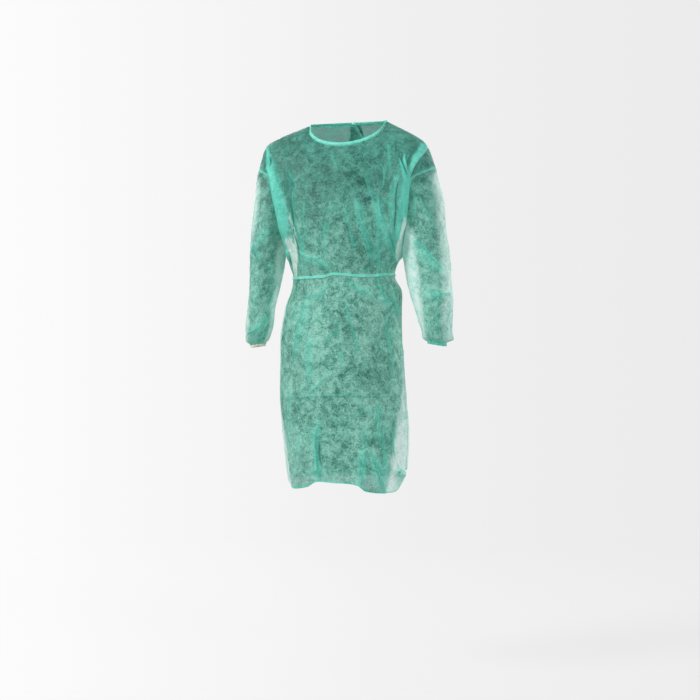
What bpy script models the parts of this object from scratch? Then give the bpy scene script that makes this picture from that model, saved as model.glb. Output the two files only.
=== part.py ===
"""A surgical gown in its worn, hollow form, in metres with +Z up.

The front faces -Y and the wearer's left is +X. The origin is the middle of the neck opening at
shoulder height. The body is a smooth surface with two coordinates. "across" runs from -1 at the
right side to 1 at the left side, and "level" rises from 0 at the hem to 1 and 2 at the belt's two
edges, 3 at the underarm, 4 at the armhole's front corner and 5 at the shoulder seam and the neck.
"""

import math

import bpy
from mathutils import Vector

FRONT, BACK = -1, 1
LEFT, RIGHT = 1, -1

# Cloth, tapes and seams
WALL = 0.0012
SEAM_GAP = 0.0003
SHOULDER_TRIM = 0.0011
NECK_TRIM = 0.0009
CUFF_TRIM = 0.0010
BINDING_WALL = 0.0022
BINDING_HEIGHT = 0.009
BELT_WIDTH = 0.010
BELT_GAP = 0.0005
TAIL_WALL = 0.0010
CUFF_WALL = 0.0020
CUFF_HEIGHT = 0.009
LAP_LIFT = 0.0026
LAP_RAMP = (0.04, 0.16)

# How finely the walls are divided
NECK_SHARE = 0.42
SHOULDER_COLUMNS = 9
NECK_COLUMNS = 14
LAP_COLUMNS = 8
SKIRT_ROWS = 13
WAIST_ROWS = 3
YOKE_ROWS = 7
SLEEVE_COLUMNS = 4 * YOKE_ROWS
SLEEVE_RUNS = (0, 0.06, 0.13, 0.21, 0.30, 0.39, 0.48, 0.57, 0.66, 0.75, 0.83, 0.90, 0.95, 0.98, 1)

# The body below the armholes, as level rings
ROUNDNESS = 0.9
TORSO = (
    # z, centre_x, half_width, front_depth, back_depth
    (-1.065, -0.008, 0.164, 0.152, 0.150),
    (-1.000, -0.007, 0.1765, 0.158, 0.157),
    (-0.900, -0.009, 0.183, 0.160, 0.162),
    (-0.800, -0.016, 0.183, 0.158, 0.162),
    (-0.700, -0.019, 0.180, 0.154, 0.158),
    (-0.620, -0.0215, 0.1765, 0.148, 0.150),
    (-0.540, -0.0155, 0.170, 0.138, 0.140),
    (-0.490, -0.006, 0.1605, 0.128, 0.129),
    (-0.450, -0.0135, 0.148, 0.119, 0.119),
    (-0.420, -0.015, 0.1545, 0.124, 0.122),
    (-0.377, -0.010, 0.174, 0.132, 0.129),
)

# The hem and the belt round the wearer: 0 is the left side, 90 the front, 180 the right side
HEM = (
    # degrees, z
    (0, -1.004),
    (4, -1.033),
    (12, -1.060),
    (33, -1.064),
    (58, -1.057),
    (66, -1.040),
    (90, -1.034),
    (107, -1.032),
    (116, -1.047),
    (138, -1.055),
    (160, -1.044),
    (180, -1.036),
    (225, -1.042),
    (270, -1.038),
    (315, -1.032),
    (345, -1.003),
    (360, -1.004),
)
BELT = (
    # degrees, z of its middle
    (0, -0.4445),
    (20, -0.4455),
    (57, -0.4525),
    (90, -0.4470),
    (105, -0.4540),
    (172, -0.4530),
    (225, -0.4480),
    (315, -0.4450),
    (360, -0.4445),
)

# Long waves of the skirt, deepest at the hem
FLUTES = (
    # degrees, width in degrees, height at the hem, z where it ends
    (50, 17, 0.010, -0.72),
    (82, 13, -0.007, -0.80),
    (104, 6, -0.007, -0.86),
    (128, 15, 0.009, -0.74),
    (158, 12, -0.005, -0.80),
    (200, 14, 0.008, -0.70),
    (228, 12, -0.007, -0.72),
    (312, 13, -0.007, -0.72),
    (334, 13, 0.005, -0.72),
)

# The yoke from the underarm to the armhole's corner
UNDERARM_Z = -0.377
UNDERARM_SLANT = 0.009
CHEST = (
    # share of the way up, centre_x, z, front_depth, back_depth
    (0, -0.010, -0.377, 0.132, 0.129),
    (0.35, -0.007, -0.315, 0.137, 0.136),
    (0.7, -0.003, -0.245, 0.136, 0.140),
    (1, 0, -0.168, 0.121, 0.134),
)
ARMHOLE = {
    LEFT: (
        # share of the way up, x, depth, z
        (0, 0.164, 0, -0.386),
        (0.15, 0.168, 0.022, -0.369),
        (0.4, 0.180, 0.050, -0.315),
        (0.7, 0.188, 0.066, -0.250),
        (1, 0.1935, 0.070, -0.184),
    ),
    RIGHT: (
        (0, -0.184, 0, -0.368),
        (0.15, -0.185, 0.022, -0.355),
        (0.4, -0.188, 0.050, -0.305),
        (0.7, -0.197, 0.066, -0.240),
        (1, -0.2072, 0.070, -0.170),
    ),
}
# What the panel and the sleeve are each cut back where they meet at an angle
ARMHOLE_TRIM = (
    # level, distance
    (3, 0.0032),
    (3.3, 0.0024),
    (3.6, 0.0022),
    (4, 0.0015),
    (4.5, 0.0008),
    (5, 0.0003),
)

# The shoulder seam and the seam under the neck binding
SHOULDER = {
    LEFT: (
        # share of the way out, x, z
        (0, 0.1165, -0.004),
        (0.50, 0.208, -0.054),
        (0.72, 0.234, -0.081),
        (1, 0.2577, -0.144),
    ),
    RIGHT: (
        (0, -0.1175, -0.009),
        (0.50, -0.208, -0.042),
        (0.76, -0.248, -0.067),
        (1, -0.2718, -0.134),
    ),
}
NECK_MIDDLE = {
    # depth, z
    FRONT: (0.0870, -0.0780),
    BACK: (0.078, 0.003),
}
# How far the neck edge leans in for each unit that it rises, in the middle and at the sides
NECK_LEAN = {FRONT: 0.45, BACK: 0.80}
NECK_SIDE_LEAN = 1.1
# How far the cloth keeps the direction of each end as it curves over the shoulder
CROWN_LEAVE = 0.9
CROWN_LEAVE_LESS_AT_SIDE = 0.5
CROWN_ARRIVE = 0.9

# How far each back panel passes the middle of the back
LAP = (
    # level, share of the half width
    (0, 0.30),
    (1, 0.25),
    (3, 0.21),
    (4, 0.15),
    (4.6, 0.08),
    (5, -0.012),
)

# The main folds: ridges are above the cloth and troughs below it
FRONT_FOLDS = (
    # width, height, path of (x, z)
    (0.015, 0.012, ((-0.215, -0.115), (-0.190, -0.180), (-0.166, -0.277), (-0.157, -0.340))),
    (0.013, 0.010, ((0.178, -0.150), (0.167, -0.200), (0.156, -0.290), (0.140, -0.370))),
    (0.014, -0.006, ((-0.140, -0.130), (-0.150, -0.220), (-0.138, -0.330))),
    (0.013, 0.006, ((0.057, -0.246), (0.083, -0.330), (0.104, -0.415))),
    (0.012, 0.005, ((0.110, -0.229), (0.129, -0.317), (0.140, -0.396))),
    (0.012, 0.005, ((0.105, -0.470), (0.116, -0.494), (0.138, -0.545))),
    (0.012, 0.004, ((-0.110, -0.390), (-0.059, -0.416), (-0.015, -0.438))),
    (0.012, 0.005, ((-0.021, -0.462), (-0.037, -0.480), (-0.086, -0.510))),
    (0.013, 0.005, ((0.030, -0.468), (0.060, -0.492), (0.111, -0.512))),
    (0.014, 0.006, ((-0.085, -0.520), (-0.104, -0.590), (-0.123, -0.660))),
    (0.013, 0.004, ((-0.080, -0.613), (-0.078, -0.759))),
    (0.012, 0.008, ((-0.048, -0.868), (-0.056, -0.936), (-0.052, -0.985), (-0.050, -1.040))),
    (0.013, 0.006, ((0.080, -0.930), (0.074, -0.996), (0.067, -1.060))),
    (0.013, 0.006, ((0.104, -0.950), (0.118, -1.015), (0.128, -1.064))),
    (0.011, 0.006, ((0.140, -0.985), (0.161, -1.014), (0.172, -1.036))),
)
BACK_FOLDS = (
    (0.015, 0.009, ((0.164, -0.165), (0.148, -0.270), (0.136, -0.365))),
    (0.015, 0.009, ((-0.176, -0.160), (-0.160, -0.270), (-0.146, -0.355))),
    (0.014, 0.005, ((0.100, -0.300), (0.112, -0.380), (0.105, -0.432))),
    (0.014, 0.005, ((-0.118, -0.310), (-0.120, -0.385), (-0.108, -0.435))),
    (0.014, 0.006, ((0.098, -0.466), (0.112, -0.520), (0.128, -0.620))),
    (0.014, 0.006, ((-0.106, -0.470), (-0.122, -0.530), (-0.136, -0.640))),
)
FOLD_END = 0.035
FOLD_END_SHARE = 0.35
# Over what share of the width and of a level the folds fade out at the seams
FOLD_FADE_ACROSS = 0.09
FOLD_FADE_LEVEL = 0.25

# The sleeves as level rings, and the cuff seam at each one's end
SLEEVE = {
    LEFT: (
        # z, centre_x, centre_y, half_width, half_depth
        (-0.637, 0.2630, -0.012, 0.0245, 0.031),
        (-0.634, 0.2645, -0.012, 0.0300, 0.036),
        (-0.628, 0.2665, -0.011, 0.0405, 0.047),
        (-0.603, 0.2613, -0.010, 0.0445, 0.054),
        (-0.562, 0.2555, -0.008, 0.0517, 0.062),
        (-0.516, 0.2490, -0.006, 0.0595, 0.069),
        (-0.470, 0.2395, -0.003, 0.0630, 0.073),
        (-0.406, 0.2316, 0, 0.0653, 0.076),
        (-0.313, 0.2225, 0, 0.0643, 0.075),
        (-0.233, 0.2155, 0, 0.0655, 0.073),
        (-0.184, 0.2090, 0, 0.0590, 0.071),
        (-0.130, 0.2000, 0, 0.0550, 0.066),
    ),
    RIGHT: (
        (-0.642, -0.2709, -0.012, 0.0205, 0.030),
        (-0.639, -0.2714, -0.012, 0.0245, 0.034),
        (-0.633, -0.2724, -0.011, 0.0310, 0.043),
        (-0.609, -0.2685, -0.010, 0.0361, 0.054),
        (-0.586, -0.2654, -0.010, 0.0388, 0.060),
        (-0.539, -0.2615, -0.008, 0.0375, 0.068),
        (-0.470, -0.2518, -0.003, 0.0424, 0.076),
        (-0.423, -0.2468, 0, 0.0468, 0.080),
        (-0.377, -0.2445, 0, 0.0476, 0.081),
        (-0.300, -0.2390, 0, 0.0500, 0.079),
        (-0.230, -0.2315, 0, 0.0510, 0.076),
        (-0.170, -0.2210, 0, 0.0560, 0.072),
        (-0.120, -0.2120, 0, 0.0540, 0.066),
    ),
}
CUFF_TILT = {LEFT: 0.004, RIGHT: 0.003}
TILT_RUN = 0.6
CUFF_PROFILE = (
    # share of the way down, distance outward
    (0, 0),
    (0.35, -0.0010),
    (0.7, -0.0004),
    (1, 0.0008),
)
SET_IN_RUN = 0.35
GATHERS = SLEEVE_COLUMNS // 2
GATHER_HEIGHT = 0.0016
GATHER_RUN = 0.86
# A full turn round a sleeve, in the same unit as its folds' widths
SLEEVE_GIRTH = 0.42
SLEEVE_FOLD_RUN = 0.1
SLEEVE_FOLDS = {
    LEFT: (
        # width, height, path of (turn, z), where turn is 0 outside and 0.25 in front
        (0.016, 0.006, ((0.36, -0.330), (0.27, -0.380), (0.16, -0.425), (0.08, -0.440))),
        (0.014, 0.005, ((0.05, -0.500), (0.17, -0.506), (0.26, -0.500))),
        (0.016, 0.006, ((0.66, -0.380), (0.78, -0.430), (0.88, -0.460))),
        (0.016, 0.005, ((0.58, -0.500), (0.72, -0.520), (0.84, -0.512))),
        (0.012, 0.006, ((0.40, -0.618), (0.46, -0.630), (0.56, -0.626))),
    ),
    RIGHT: (
        (0.016, 0.005, ((0.34, -0.300), (0.24, -0.350), (0.12, -0.380))),
        (0.014, 0.005, ((0.40, -0.560), (0.27, -0.600), (0.14, -0.625))),
        (0.016, 0.005, ((0.60, -0.400), (0.74, -0.450), (0.86, -0.470))),
        (0.014, 0.005, ((0.64, -0.560), (0.76, -0.590), (0.88, -0.585))),
    ),
}

# The ties at the back
NECK_KNOT = (0.0150, 0.0100, 0.0120)
BELT_KNOT = (0.0240, 0.0120, 0.0150)
KNOT_WAIST = 0.82
KNOT_WAIST_REACH = 0.22
KNOT_FACE = 0.45
TAIL_CLEARANCE = 0.0045
# The left end of each tie is the longer one at the neck and the shorter one at the waist
NECK_TAIL_LENGTH = {LEFT: 0.173, RIGHT: 0.160}
NECK_TAIL_SPREAD = (0.030, 0.035)
NECK_TAIL_SLANT = 0.06
BELT_TAIL_LENGTH = {LEFT: 0.193, RIGHT: 0.210}
BELT_TAIL_SPREAD = (0.028, 0.050)
BELT_TAIL_SLANT = 0.10
TAIL_LEAD_IN = 0.12
BACK_LENGTH = 0.37
TAIL_ROWS = 12
BELT_KNOT_SHARE = 0.062
BELT_KNOT_CLEAR = 0.015
BELT_STEP = 0.05
BELT_KNOT_STANDOFF = 0.0070

COLOURS = {
    "cloth": (0.180, 0.490, 0.400, 1),
    "trim": (0.260, 0.720, 0.600, 1),
    "elastic": (0.830, 0.800, 0.680, 1),
}


def clear_scene():
    for obj in list(bpy.data.objects):
        bpy.data.objects.remove(obj, do_unlink=True)


def cloth_material(name, colour):
    material = bpy.data.materials.new(name)
    material.use_nodes = True
    shader = material.node_tree.nodes["Principled BSDF"]
    shader.inputs["Base Color"].default_value = colour
    shader.inputs["Roughness"].default_value = 0.7
    shader.inputs["Metallic"].default_value = 0
    return material


def hermite(start, end, start_slope, end_slope, share):
    """A point on the cubic curve with these ends and slopes."""
    square = share * share
    cube = square * share
    return (
        start * (2 * cube - 3 * square + 1)
        + start_slope * (cube - 2 * square + share)
        + end * (3 * square - 2 * cube)
        + end_slope * (cube - square)
    )


def between(table, key):
    """The columns of a table at a key between its rows, on a smooth curve through them."""
    last = len(table) - 1
    key = min(max(key, table[0][0]), table[last][0])
    row = max(k for k in range(last) if table[k][0] <= key)
    span = table[row + 1][0] - table[row][0]
    found = []
    for column in range(1, len(table[0])):
        slopes = []
        for k in (row, row + 1):
            above, below = table[min(k + 1, last)], table[max(k - 1, 0)]
            slopes.append(span * (above[column] - below[column]) / (above[0] - below[0]))
        share = (key - table[row][0]) / span
        found.append(hermite(table[row][column], table[row + 1][column], *slopes, share))
    return found


def ease(value):
    """0 below 0, 1 above 1 and smooth between them."""
    value = min(max(value, 0), 1)
    return value * value * (3 - 2 * value)


def degrees_round(across, side):
    return 90 - 90 * across if side == FRONT else 270 + 90 * across


def flute_height(degrees, z):
    """How far the skirt's long waves stand out there."""
    height = 0
    for middle, width, most, end_z in FLUTES:
        fade = ease((end_z - z) / (end_z + 1.05))
        height += most * fade * math.exp(-(((degrees - middle) / width) ** 2))
    return height


def ring_point(across, z, side):
    """A point of the body below the armholes."""
    centre_x, half_width, front_depth, back_depth = between(TORSO, z)
    depth = front_depth if side == FRONT else back_depth
    angle = across * math.pi / 2
    wave = flute_height(degrees_round(across, side), z)
    x = centre_x + (half_width + wave) * math.sin(angle)
    y = side * (depth + wave) * math.cos(angle) ** ROUNDNESS
    return Vector((x, y, z))


def underarm_z(across):
    return UNDERARM_Z - UNDERARM_SLANT * across


def level_z(across, level, side):
    """The height of a level at or below the underarm."""
    degrees = degrees_round(across, side)
    belt = between(BELT, degrees)[0]
    stops = (between(HEM, degrees)[0], belt - BELT_WIDTH / 2, belt + BELT_WIDTH / 2, underarm_z(across))
    below = min(int(level), 2)
    return stops[below] + (stops[below + 1] - stops[below]) * (level - below)


def chest_arc(across, share, side):
    """The arc from armhole to armhole at this share of the way from underarm to corner."""
    edge_x, edge_depth, edge_z = between(ARMHOLE[LEFT if across >= 0 else RIGHT], share)
    centre_x, middle_z, front_depth, back_depth = between(CHEST, share)
    depth = front_depth if side == FRONT else back_depth
    angle = abs(across) * math.pi / 2
    x = centre_x + (edge_x - centre_x) * math.sin(angle)
    y = side * (edge_depth + (depth - edge_depth) * math.cos(angle) ** ROUNDNESS)
    z = middle_z + (edge_z - middle_z) * across * across
    return Vector((x, y, z))


def chest_point(across, share, side):
    """A point between underarm and corner. It starts on the body's own ring."""
    ring = ring_point(across, underarm_z(across), side)
    start = ring - chest_arc(across, 0, side)
    return chest_arc(across, share, side) + start * (1 - share) ** 2


def top_point(across, side):
    """A point of the panel's upper edge: the neck seam, then the shoulder seam."""
    hand = LEFT if across >= 0 else RIGHT
    reach = abs(across)
    neck_x, neck_z = SHOULDER[hand][0][1:]
    if reach <= NECK_SHARE:
        angle = reach / NECK_SHARE * math.pi / 2
        depth, low_z = NECK_MIDDLE[side]
        x = neck_x * math.sin(angle)
        y = side * depth * math.cos(angle)
        return Vector((x, y, neck_z + (low_z - neck_z) * math.cos(angle)))
    x, z = between(SHOULDER[hand], (reach - NECK_SHARE) / (1 - NECK_SHARE))
    return Vector((x, 0, z))


def neck_direction(across, side):
    """The way the cloth runs square across the neck seam: up, and in towards the neck."""
    angle = across / NECK_SHARE * math.pi / 2
    inward_x = -NECK_SIDE_LEAN * math.sin(angle)
    return Vector((inward_x, -side * NECK_LEAN[side] * math.cos(angle), 1)).normalized()


def crown_point(across, share, side):
    """A point between the armhole's corner and the panel's upper edge."""
    step = 0.05
    start = chest_point(across, 1, side)
    end = top_point(across, side)
    length = (end - start).length
    rise = (start - chest_point(across, 1 - step, side)).normalized()
    over_shoulder = Vector((0, -side, 0))
    on_shoulder = ease(abs(across) / NECK_SHARE)
    arrive = neck_direction(0, side).lerp(over_shoulder, on_shoulder)
    leave = CROWN_LEAVE - CROWN_LEAVE_LESS_AT_SIDE * abs(across) ** 6
    return hermite(start, end, rise * length * leave, arrive * length * CROWN_ARRIVE, share)


def body_point(across, level, side):
    if level <= 3:
        return ring_point(across, level_z(across, level, side), side)
    if level <= 4:
        return chest_point(across, level - 3, side)
    return crown_point(across, level - 4, side)


def spaced(start, end, count):
    """Values from start to just before end."""
    return [start + (end - start) * k / count for k in range(count)]


def body_levels():
    levels = spaced(0, 1, SKIRT_ROWS) + [1] + spaced(2, 3, WAIST_ROWS)
    return levels + spaced(3, 4, YOKE_ROWS) + spaced(4, 5, YOKE_ROWS) + [5]


def front_columns():
    columns = spaced(-1, -NECK_SHARE, SHOULDER_COLUMNS)
    columns += spaced(-NECK_SHARE, NECK_SHARE, NECK_COLUMNS)
    return columns + spaced(NECK_SHARE, 1, SHOULDER_COLUMNS) + [1]


def back_columns(hand, level):
    """From the side seam to the free edge, which lies past the middle of the back."""
    free_edge = -between(LAP, level)[0]
    columns = spaced(1, NECK_SHARE, SHOULDER_COLUMNS)
    columns += spaced(NECK_SHARE, free_edge, LAP_COLUMNS) + [free_edge]
    return [hand * across for across in columns]


def lap_lift(across, level):
    """How far the left back panel stands off where it covers the right one."""
    lap = between(LAP, level)[0]
    flat, ramp = LAP_RAMP
    return LAP_LIFT * ease((lap + flat + ramp - across) / ramp)


def grid_normals(grid, outward, closed=False):
    """A unit normal for each point of a grid, turned outward by its sign."""
    last_row = len(grid) - 1
    count = len(grid[0])
    normals = []
    for i, row in enumerate(grid):
        below, above = grid[max(i - 1, 0)], grid[min(i + 1, last_row)]
        line = []
        for j in range(count):
            before = row[(j - 1) % count if closed else max(j - 1, 0)]
            after = row[(j + 1) % count if closed else min(j + 1, count - 1)]
            line.append((after - before).cross(above[j] - below[j]).normalized() * outward)
        normals.append(line)
    return normals


def fold_height(u, v, folds):
    """The height of all folds at a point, each one a soft ridge along its path."""
    height = 0
    for width, most, path in folds:
        here = Vector((u, v))
        points = [Vector(p) for p in path]
        total = sum((b - a).length for a, b in zip(points, points[1:]))
        nearest, at_length, run = 1e9, 0, 0
        for a, b in zip(points, points[1:]):
            line = b - a
            share = min(max((here - a).dot(line) / line.length_squared, 0), 1)
            distance = (here - a - line * share).length
            if distance < nearest:
                nearest, at_length = distance, run + share * line.length
            run += line.length
        end = ease(min(at_length, total - at_length) / FOLD_END)
        strength = FOLD_END_SHARE + (1 - FOLD_END_SHARE) * end
        height += most * strength * math.exp(-((nearest / width) ** 2))
    return height


def fold_fade(across, level):
    """How much of the folds' height is left near a side seam, an armhole or the upper edge."""
    return ease((1 - abs(across)) / FOLD_FADE_ACROSS) * ease((5 - level) / FOLD_FADE_LEVEL)


def moved(grid, normals, distance):
    """A grid moved along its normals by a number, or by a function of the row and column."""
    result = []
    for i, row in enumerate(grid):
        line = []
        for j, point in enumerate(row):
            step = distance(i, j) if callable(distance) else distance
            line.append(point + normals[i][j] * step)
        result.append(line)
    return result


def trimmed(edge, inner, amounts):
    """An edge's points, each moved towards its inner neighbour."""
    return [p + (q - p).normalized() * amount for p, q, amount in zip(edge, inner, amounts)]


def trim_side(grid, column, inner, levels):
    """Cuts back one side of a panel: a hair at the side seam and more round the armhole."""
    amounts = [SEAM_GAP / 2 if level < 3 else between(ARMHOLE_TRIM, level)[0] for level in levels]
    edge = trimmed([row[column] for row in grid], [row[inner] for row in grid], amounts)
    for row, point in zip(grid, edge):
        row[column] = point


def trim_row(grid, row, inner, amounts):
    grid[row] = trimmed(grid[row], grid[inner], amounts)


def trim_top(grid, columns, side):
    """Cuts back a panel's upper edge: along the panel at the shoulder, square to the neck seam."""
    inside_neck = [abs(across) < NECK_SHARE for across in columns]
    trim_row(grid, -1, -2, [0 if inside else SHOULDER_TRIM for inside in inside_neck])
    for j, across in enumerate(columns):
        if abs(across) <= NECK_SHARE:
            grid[-1][j] -= neck_direction(across, side) * NECK_TRIM


def cloth_object(name, grid, wall, colour, closed=False):
    """A wall of even thickness whose middle surface is the grid."""
    count = len(grid[0])
    vertices = [point for row in grid for point in row]
    faces = []
    for i in range(len(grid) - 1):
        for j in range(count if closed else count - 1):
            after = (j + 1) % count
            a, b = i * count + j, i * count + after
            c, d = (i + 1) * count + after, (i + 1) * count + j
            if (vertices[a] - vertices[c]).length <= (vertices[b] - vertices[d]).length:
                faces += [(a, b, c), (a, c, d)]
            else:
                faces += [(a, b, d), (b, c, d)]
    mesh = bpy.data.meshes.new(name)
    mesh.from_pydata(vertices, [], faces)
    mesh.shade_smooth()
    mesh.materials.append(cloth_material(name, COLOURS[colour]))
    obj = bpy.data.objects.new(name, mesh)
    bpy.context.scene.collection.objects.link(obj)
    thicken = obj.modifiers.new("wall", "SOLIDIFY")
    thicken.thickness = wall
    thicken.offset = 0
    return obj


def knot_object(name, centre, size, colour):
    """A pulled-tight knot: a rounded lump with a waist where the tape wraps it."""
    bpy.ops.mesh.primitive_uv_sphere_add(segments=14, ring_count=10, radius=0.5)
    obj = bpy.context.object
    obj.name = name
    for vertex in obj.data.vertices:
        waist = KNOT_WAIST + (1 - KNOT_WAIST) * ease(abs(vertex.co.x) / KNOT_WAIST_REACH)
        x, y, z = vertex.co
        vertex.co = Vector((x * size[0], y * size[1] * waist, z * size[2] * waist)) + centre
    obj.data.shade_smooth()
    obj.data.materials.append(cloth_material(name, COLOURS[colour]))
    return obj


def panel_objects(name, grid):
    """One panel as two solids that part under the middle of the belt."""
    below, above = grid[:SKIRT_ROWS + 1], grid[SKIRT_ROWS + 1:]
    middle = [(low + high) / 2 for low, high in zip(below[-1], above[0])]
    half_gap = [SEAM_GAP / 2] * len(middle)
    cloth_object(f"{name}_skirt", below + [trimmed(middle, below[-1], half_gap)], WALL, "cloth")
    cloth_object(f"{name}_upper", [trimmed(middle, above[0], half_gap)] + above, WALL, "cloth")


def front_grid():
    levels = body_levels()
    columns = front_columns()
    grid = [[body_point(across, level, FRONT) for across in columns] for level in levels]

    def height(i, j):
        return fold_fade(columns[j], levels[i]) * fold_height(grid[i][j].x, grid[i][j].z, FRONT_FOLDS)

    return moved(grid, grid_normals(grid, 1), height)


def make_front():
    levels = body_levels()
    grid = front_grid()
    trim_side(grid, 0, 1, levels)
    trim_side(grid, -1, -2, levels)
    trim_top(grid, front_columns(), FRONT)
    panel_objects("front_panel", grid)


def back_grid(hand):
    levels = body_levels()
    grid = [[body_point(a, level, BACK) for a in back_columns(hand, level)] for level in levels]

    def height(i, j):
        across = back_columns(hand, levels[i])[j]
        folds = fold_fade(across, levels[i]) * fold_height(grid[i][j].x, grid[i][j].z, BACK_FOLDS)
        return folds + lap_lift(across, levels[i]) if hand == LEFT else folds

    return moved(grid, grid_normals(grid, hand), height)


def make_back(hand):
    levels = body_levels()
    grid = back_grid(hand)
    trim_side(grid, 0, 1, levels)
    trim_top(grid, back_columns(hand, levels[-1]), BACK)
    panel_objects("back_panel_left" if hand == LEFT else "back_panel_right", grid)


def armhole_point(turn, hand):
    """A point of the armhole: turn 0 is at the shoulder seam, 0.25 in front and 0.5 underneath."""
    side = FRONT if turn <= 0.5 else BACK
    level = 5 - 4 * min(turn, 1 - turn)
    return body_point(hand, level, side), level


def sleeve_ring(turn, z, hand):
    centre_x, centre_y, half_width, half_depth = between(SLEEVE[hand], z)
    angle = 2 * math.pi * turn
    x = centre_x + hand * half_width * math.cos(angle)
    return Vector((x, centre_y - half_depth * math.sin(angle), z))


def sleeve_point(turn, run, hand):
    """A point of the sleeve, where run is 0 at the armhole and 1 at the cuff seam."""
    start = armhole_point(turn, hand)[0]
    end_z = SLEEVE[hand][0][0]
    z = start.z + (end_z - start.z) * run
    set_in = max(1 - run / SET_IN_RUN, 0) ** 2
    point = sleeve_ring(turn, z, hand) + (start - sleeve_ring(turn, start.z, hand)) * set_in
    gather = ease((run - GATHER_RUN) / (1 - GATHER_RUN)) * GATHER_HEIGHT
    outward = Vector((hand * math.cos(2 * math.pi * turn), -math.sin(2 * math.pi * turn), 0))
    point += outward * gather * math.cos(2 * math.pi * GATHERS * turn)
    point.z -= CUFF_TILT[hand] * math.cos(2 * math.pi * turn) * ease((run - TILT_RUN) / (1 - TILT_RUN))
    return point


def make_sleeve(hand):
    turns = spaced(0, 1, SLEEVE_COLUMNS)
    grid = [[sleeve_point(turn, run, hand) for turn in turns] for run in SLEEVE_RUNS]
    folds = [
        (width, most, [(turn * SLEEVE_GIRTH, z) for turn, z in path])
        for width, most, path in SLEEVE_FOLDS[hand]
    ]

    def height(i, j):
        fade = ease(SLEEVE_RUNS[i] / SLEEVE_FOLD_RUN)
        return fade * fold_height(turns[j] * SLEEVE_GIRTH, grid[i][j].z, folds)

    grid = moved(grid, grid_normals(grid, hand, closed=True), height)
    trim_row(grid, 0, 1, [between(ARMHOLE_TRIM, armhole_point(turn, hand)[1])[0] for turn in turns])
    trim_row(grid, -1, -2, [SEAM_GAP / 2] * SLEEVE_COLUMNS)
    name = "sleeve_left" if hand == LEFT else "sleeve_right"
    return cloth_object(name, grid, WALL, "cloth", closed=True)


def make_cuff(hand):
    """The elastic edge below the cuff seam, with the gathers of the sleeve's end."""
    turns = spaced(0, 1, SLEEVE_COLUMNS)
    edge = [sleeve_point(turn, 1, hand) for turn in turns]
    grid = []
    for share, flare in CUFF_PROFILE:
        row = []
        for turn, point in zip(turns, edge):
            outward = Vector((hand * math.cos(2 * math.pi * turn), -math.sin(2 * math.pi * turn), 0))
            row.append(point + outward * flare - Vector((0, 0, CUFF_TRIM + CUFF_HEIGHT * share)))
        grid.append(row)
    name, colour = ("cuff_left", "trim") if hand == LEFT else ("cuff_right", "elastic")
    return cloth_object(name, grid, CUFF_WALL, colour, closed=True)


def neck_round():
    """The neck seam's coordinates, from the back's middle round by the left, front and right."""
    gap = NECK_KNOT[0] / 2 + SEAM_GAP
    end = math.asin(gap / SHOULDER[LEFT][0][1]) / (math.pi / 2) * NECK_SHARE
    back = [(a, BACK) for a in spaced(end, NECK_SHARE, LAP_COLUMNS)]
    front = [(a, FRONT) for a in spaced(NECK_SHARE, -NECK_SHARE, NECK_COLUMNS)]
    return back + front + [(-NECK_SHARE, BACK)] + [(-a, BACK) for a, _ in reversed(back)]


def make_neck_binding():
    """The folded tape that stands on the neck seam."""
    grid = []
    for share in (0, 0.5, 1):
        row = []
        for across, side in neck_round():
            rise = SEAM_GAP / 2 + BINDING_HEIGHT * share
            row.append(top_point(across, side) + neck_direction(across, side) * rise)
        grid.append(row)
    return cloth_object("neck_binding", grid, BINDING_WALL, "trim")


def along(row, columns, across):
    """A point of a panel's row at a coordinate between its columns."""
    for k in range(len(columns) - 1):
        low, high = sorted((columns[k], columns[k + 1]))
        if low <= across <= high:
            share = (across - columns[k]) / (columns[k + 1] - columns[k])
            return row[k].lerp(row[k + 1], share)
    return row[-1]


def belt_round():
    """The belt's coordinates, from the knot round by the left, the front and the right."""
    lap = between(LAP, 1)[0]
    knot = BELT_KNOT_SHARE + BELT_KNOT_CLEAR
    over_left = [a for a in back_columns(LEFT, 1) if abs(a) > knot]
    over_right = [a for a in back_columns(RIGHT, 1) if a < -lap - 2 * BELT_STEP]
    left = [BELT_KNOT_SHARE] + [a for a in over_left if a > 0][::-1]
    right = [-BELT_KNOT_SHARE] + [a for a in over_left if a < 0] + [-lap - BELT_STEP] + over_right[::-1]
    where = [(a, BACK) for a in left] + [(a, FRONT) for a in reversed(front_columns()[1:-1])]
    return where + [(a, BACK) for a in reversed(right)]


def make_waist_belt():
    """A flat tie on the panels' own points, moved out."""
    lap = between(LAP, 1)[0]
    front, left, right = front_grid(), back_grid(LEFT), back_grid(RIGHT)
    grid = []
    for level in (1, 2):
        k = SKIRT_ROWS + level - 1
        row = []
        for across, side in belt_round():
            if side == FRONT:
                row.append(along(front[k], front_columns(), across))
            elif across >= -lap:
                row.append(along(left[k], back_columns(LEFT, level), across))
            else:
                row.append(along(right[k], back_columns(RIGHT, level), across))
        grid.append(row)
    rise = WALL / 2 + BELT_GAP + WALL / 2
    return cloth_object("waist_belt", moved(grid, grid_normals(grid, -1), rise), WALL, "trim")


def back_outside(across, z, distance):
    """A point outside both back panels, below the underarm."""
    point = ring_point(across, z, BACK)
    angle = across * math.pi / 2
    return point + Vector((math.sin(angle), math.cos(angle), 0)) * distance


def make_tail(name, start, path, width):
    """A tie's loose end: a narrow strip that hangs down the back."""
    grid = []
    for k in range(TAIL_ROWS + 1):
        share = k / TAIL_ROWS
        centre, sideways = path(share)
        middle = start.lerp(centre, ease(share / TAIL_LEAD_IN))
        grid.append([middle - sideways * width / 2, middle, middle + sideways * width / 2])
    return cloth_object(name, grid, TAIL_WALL, "trim")


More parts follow.
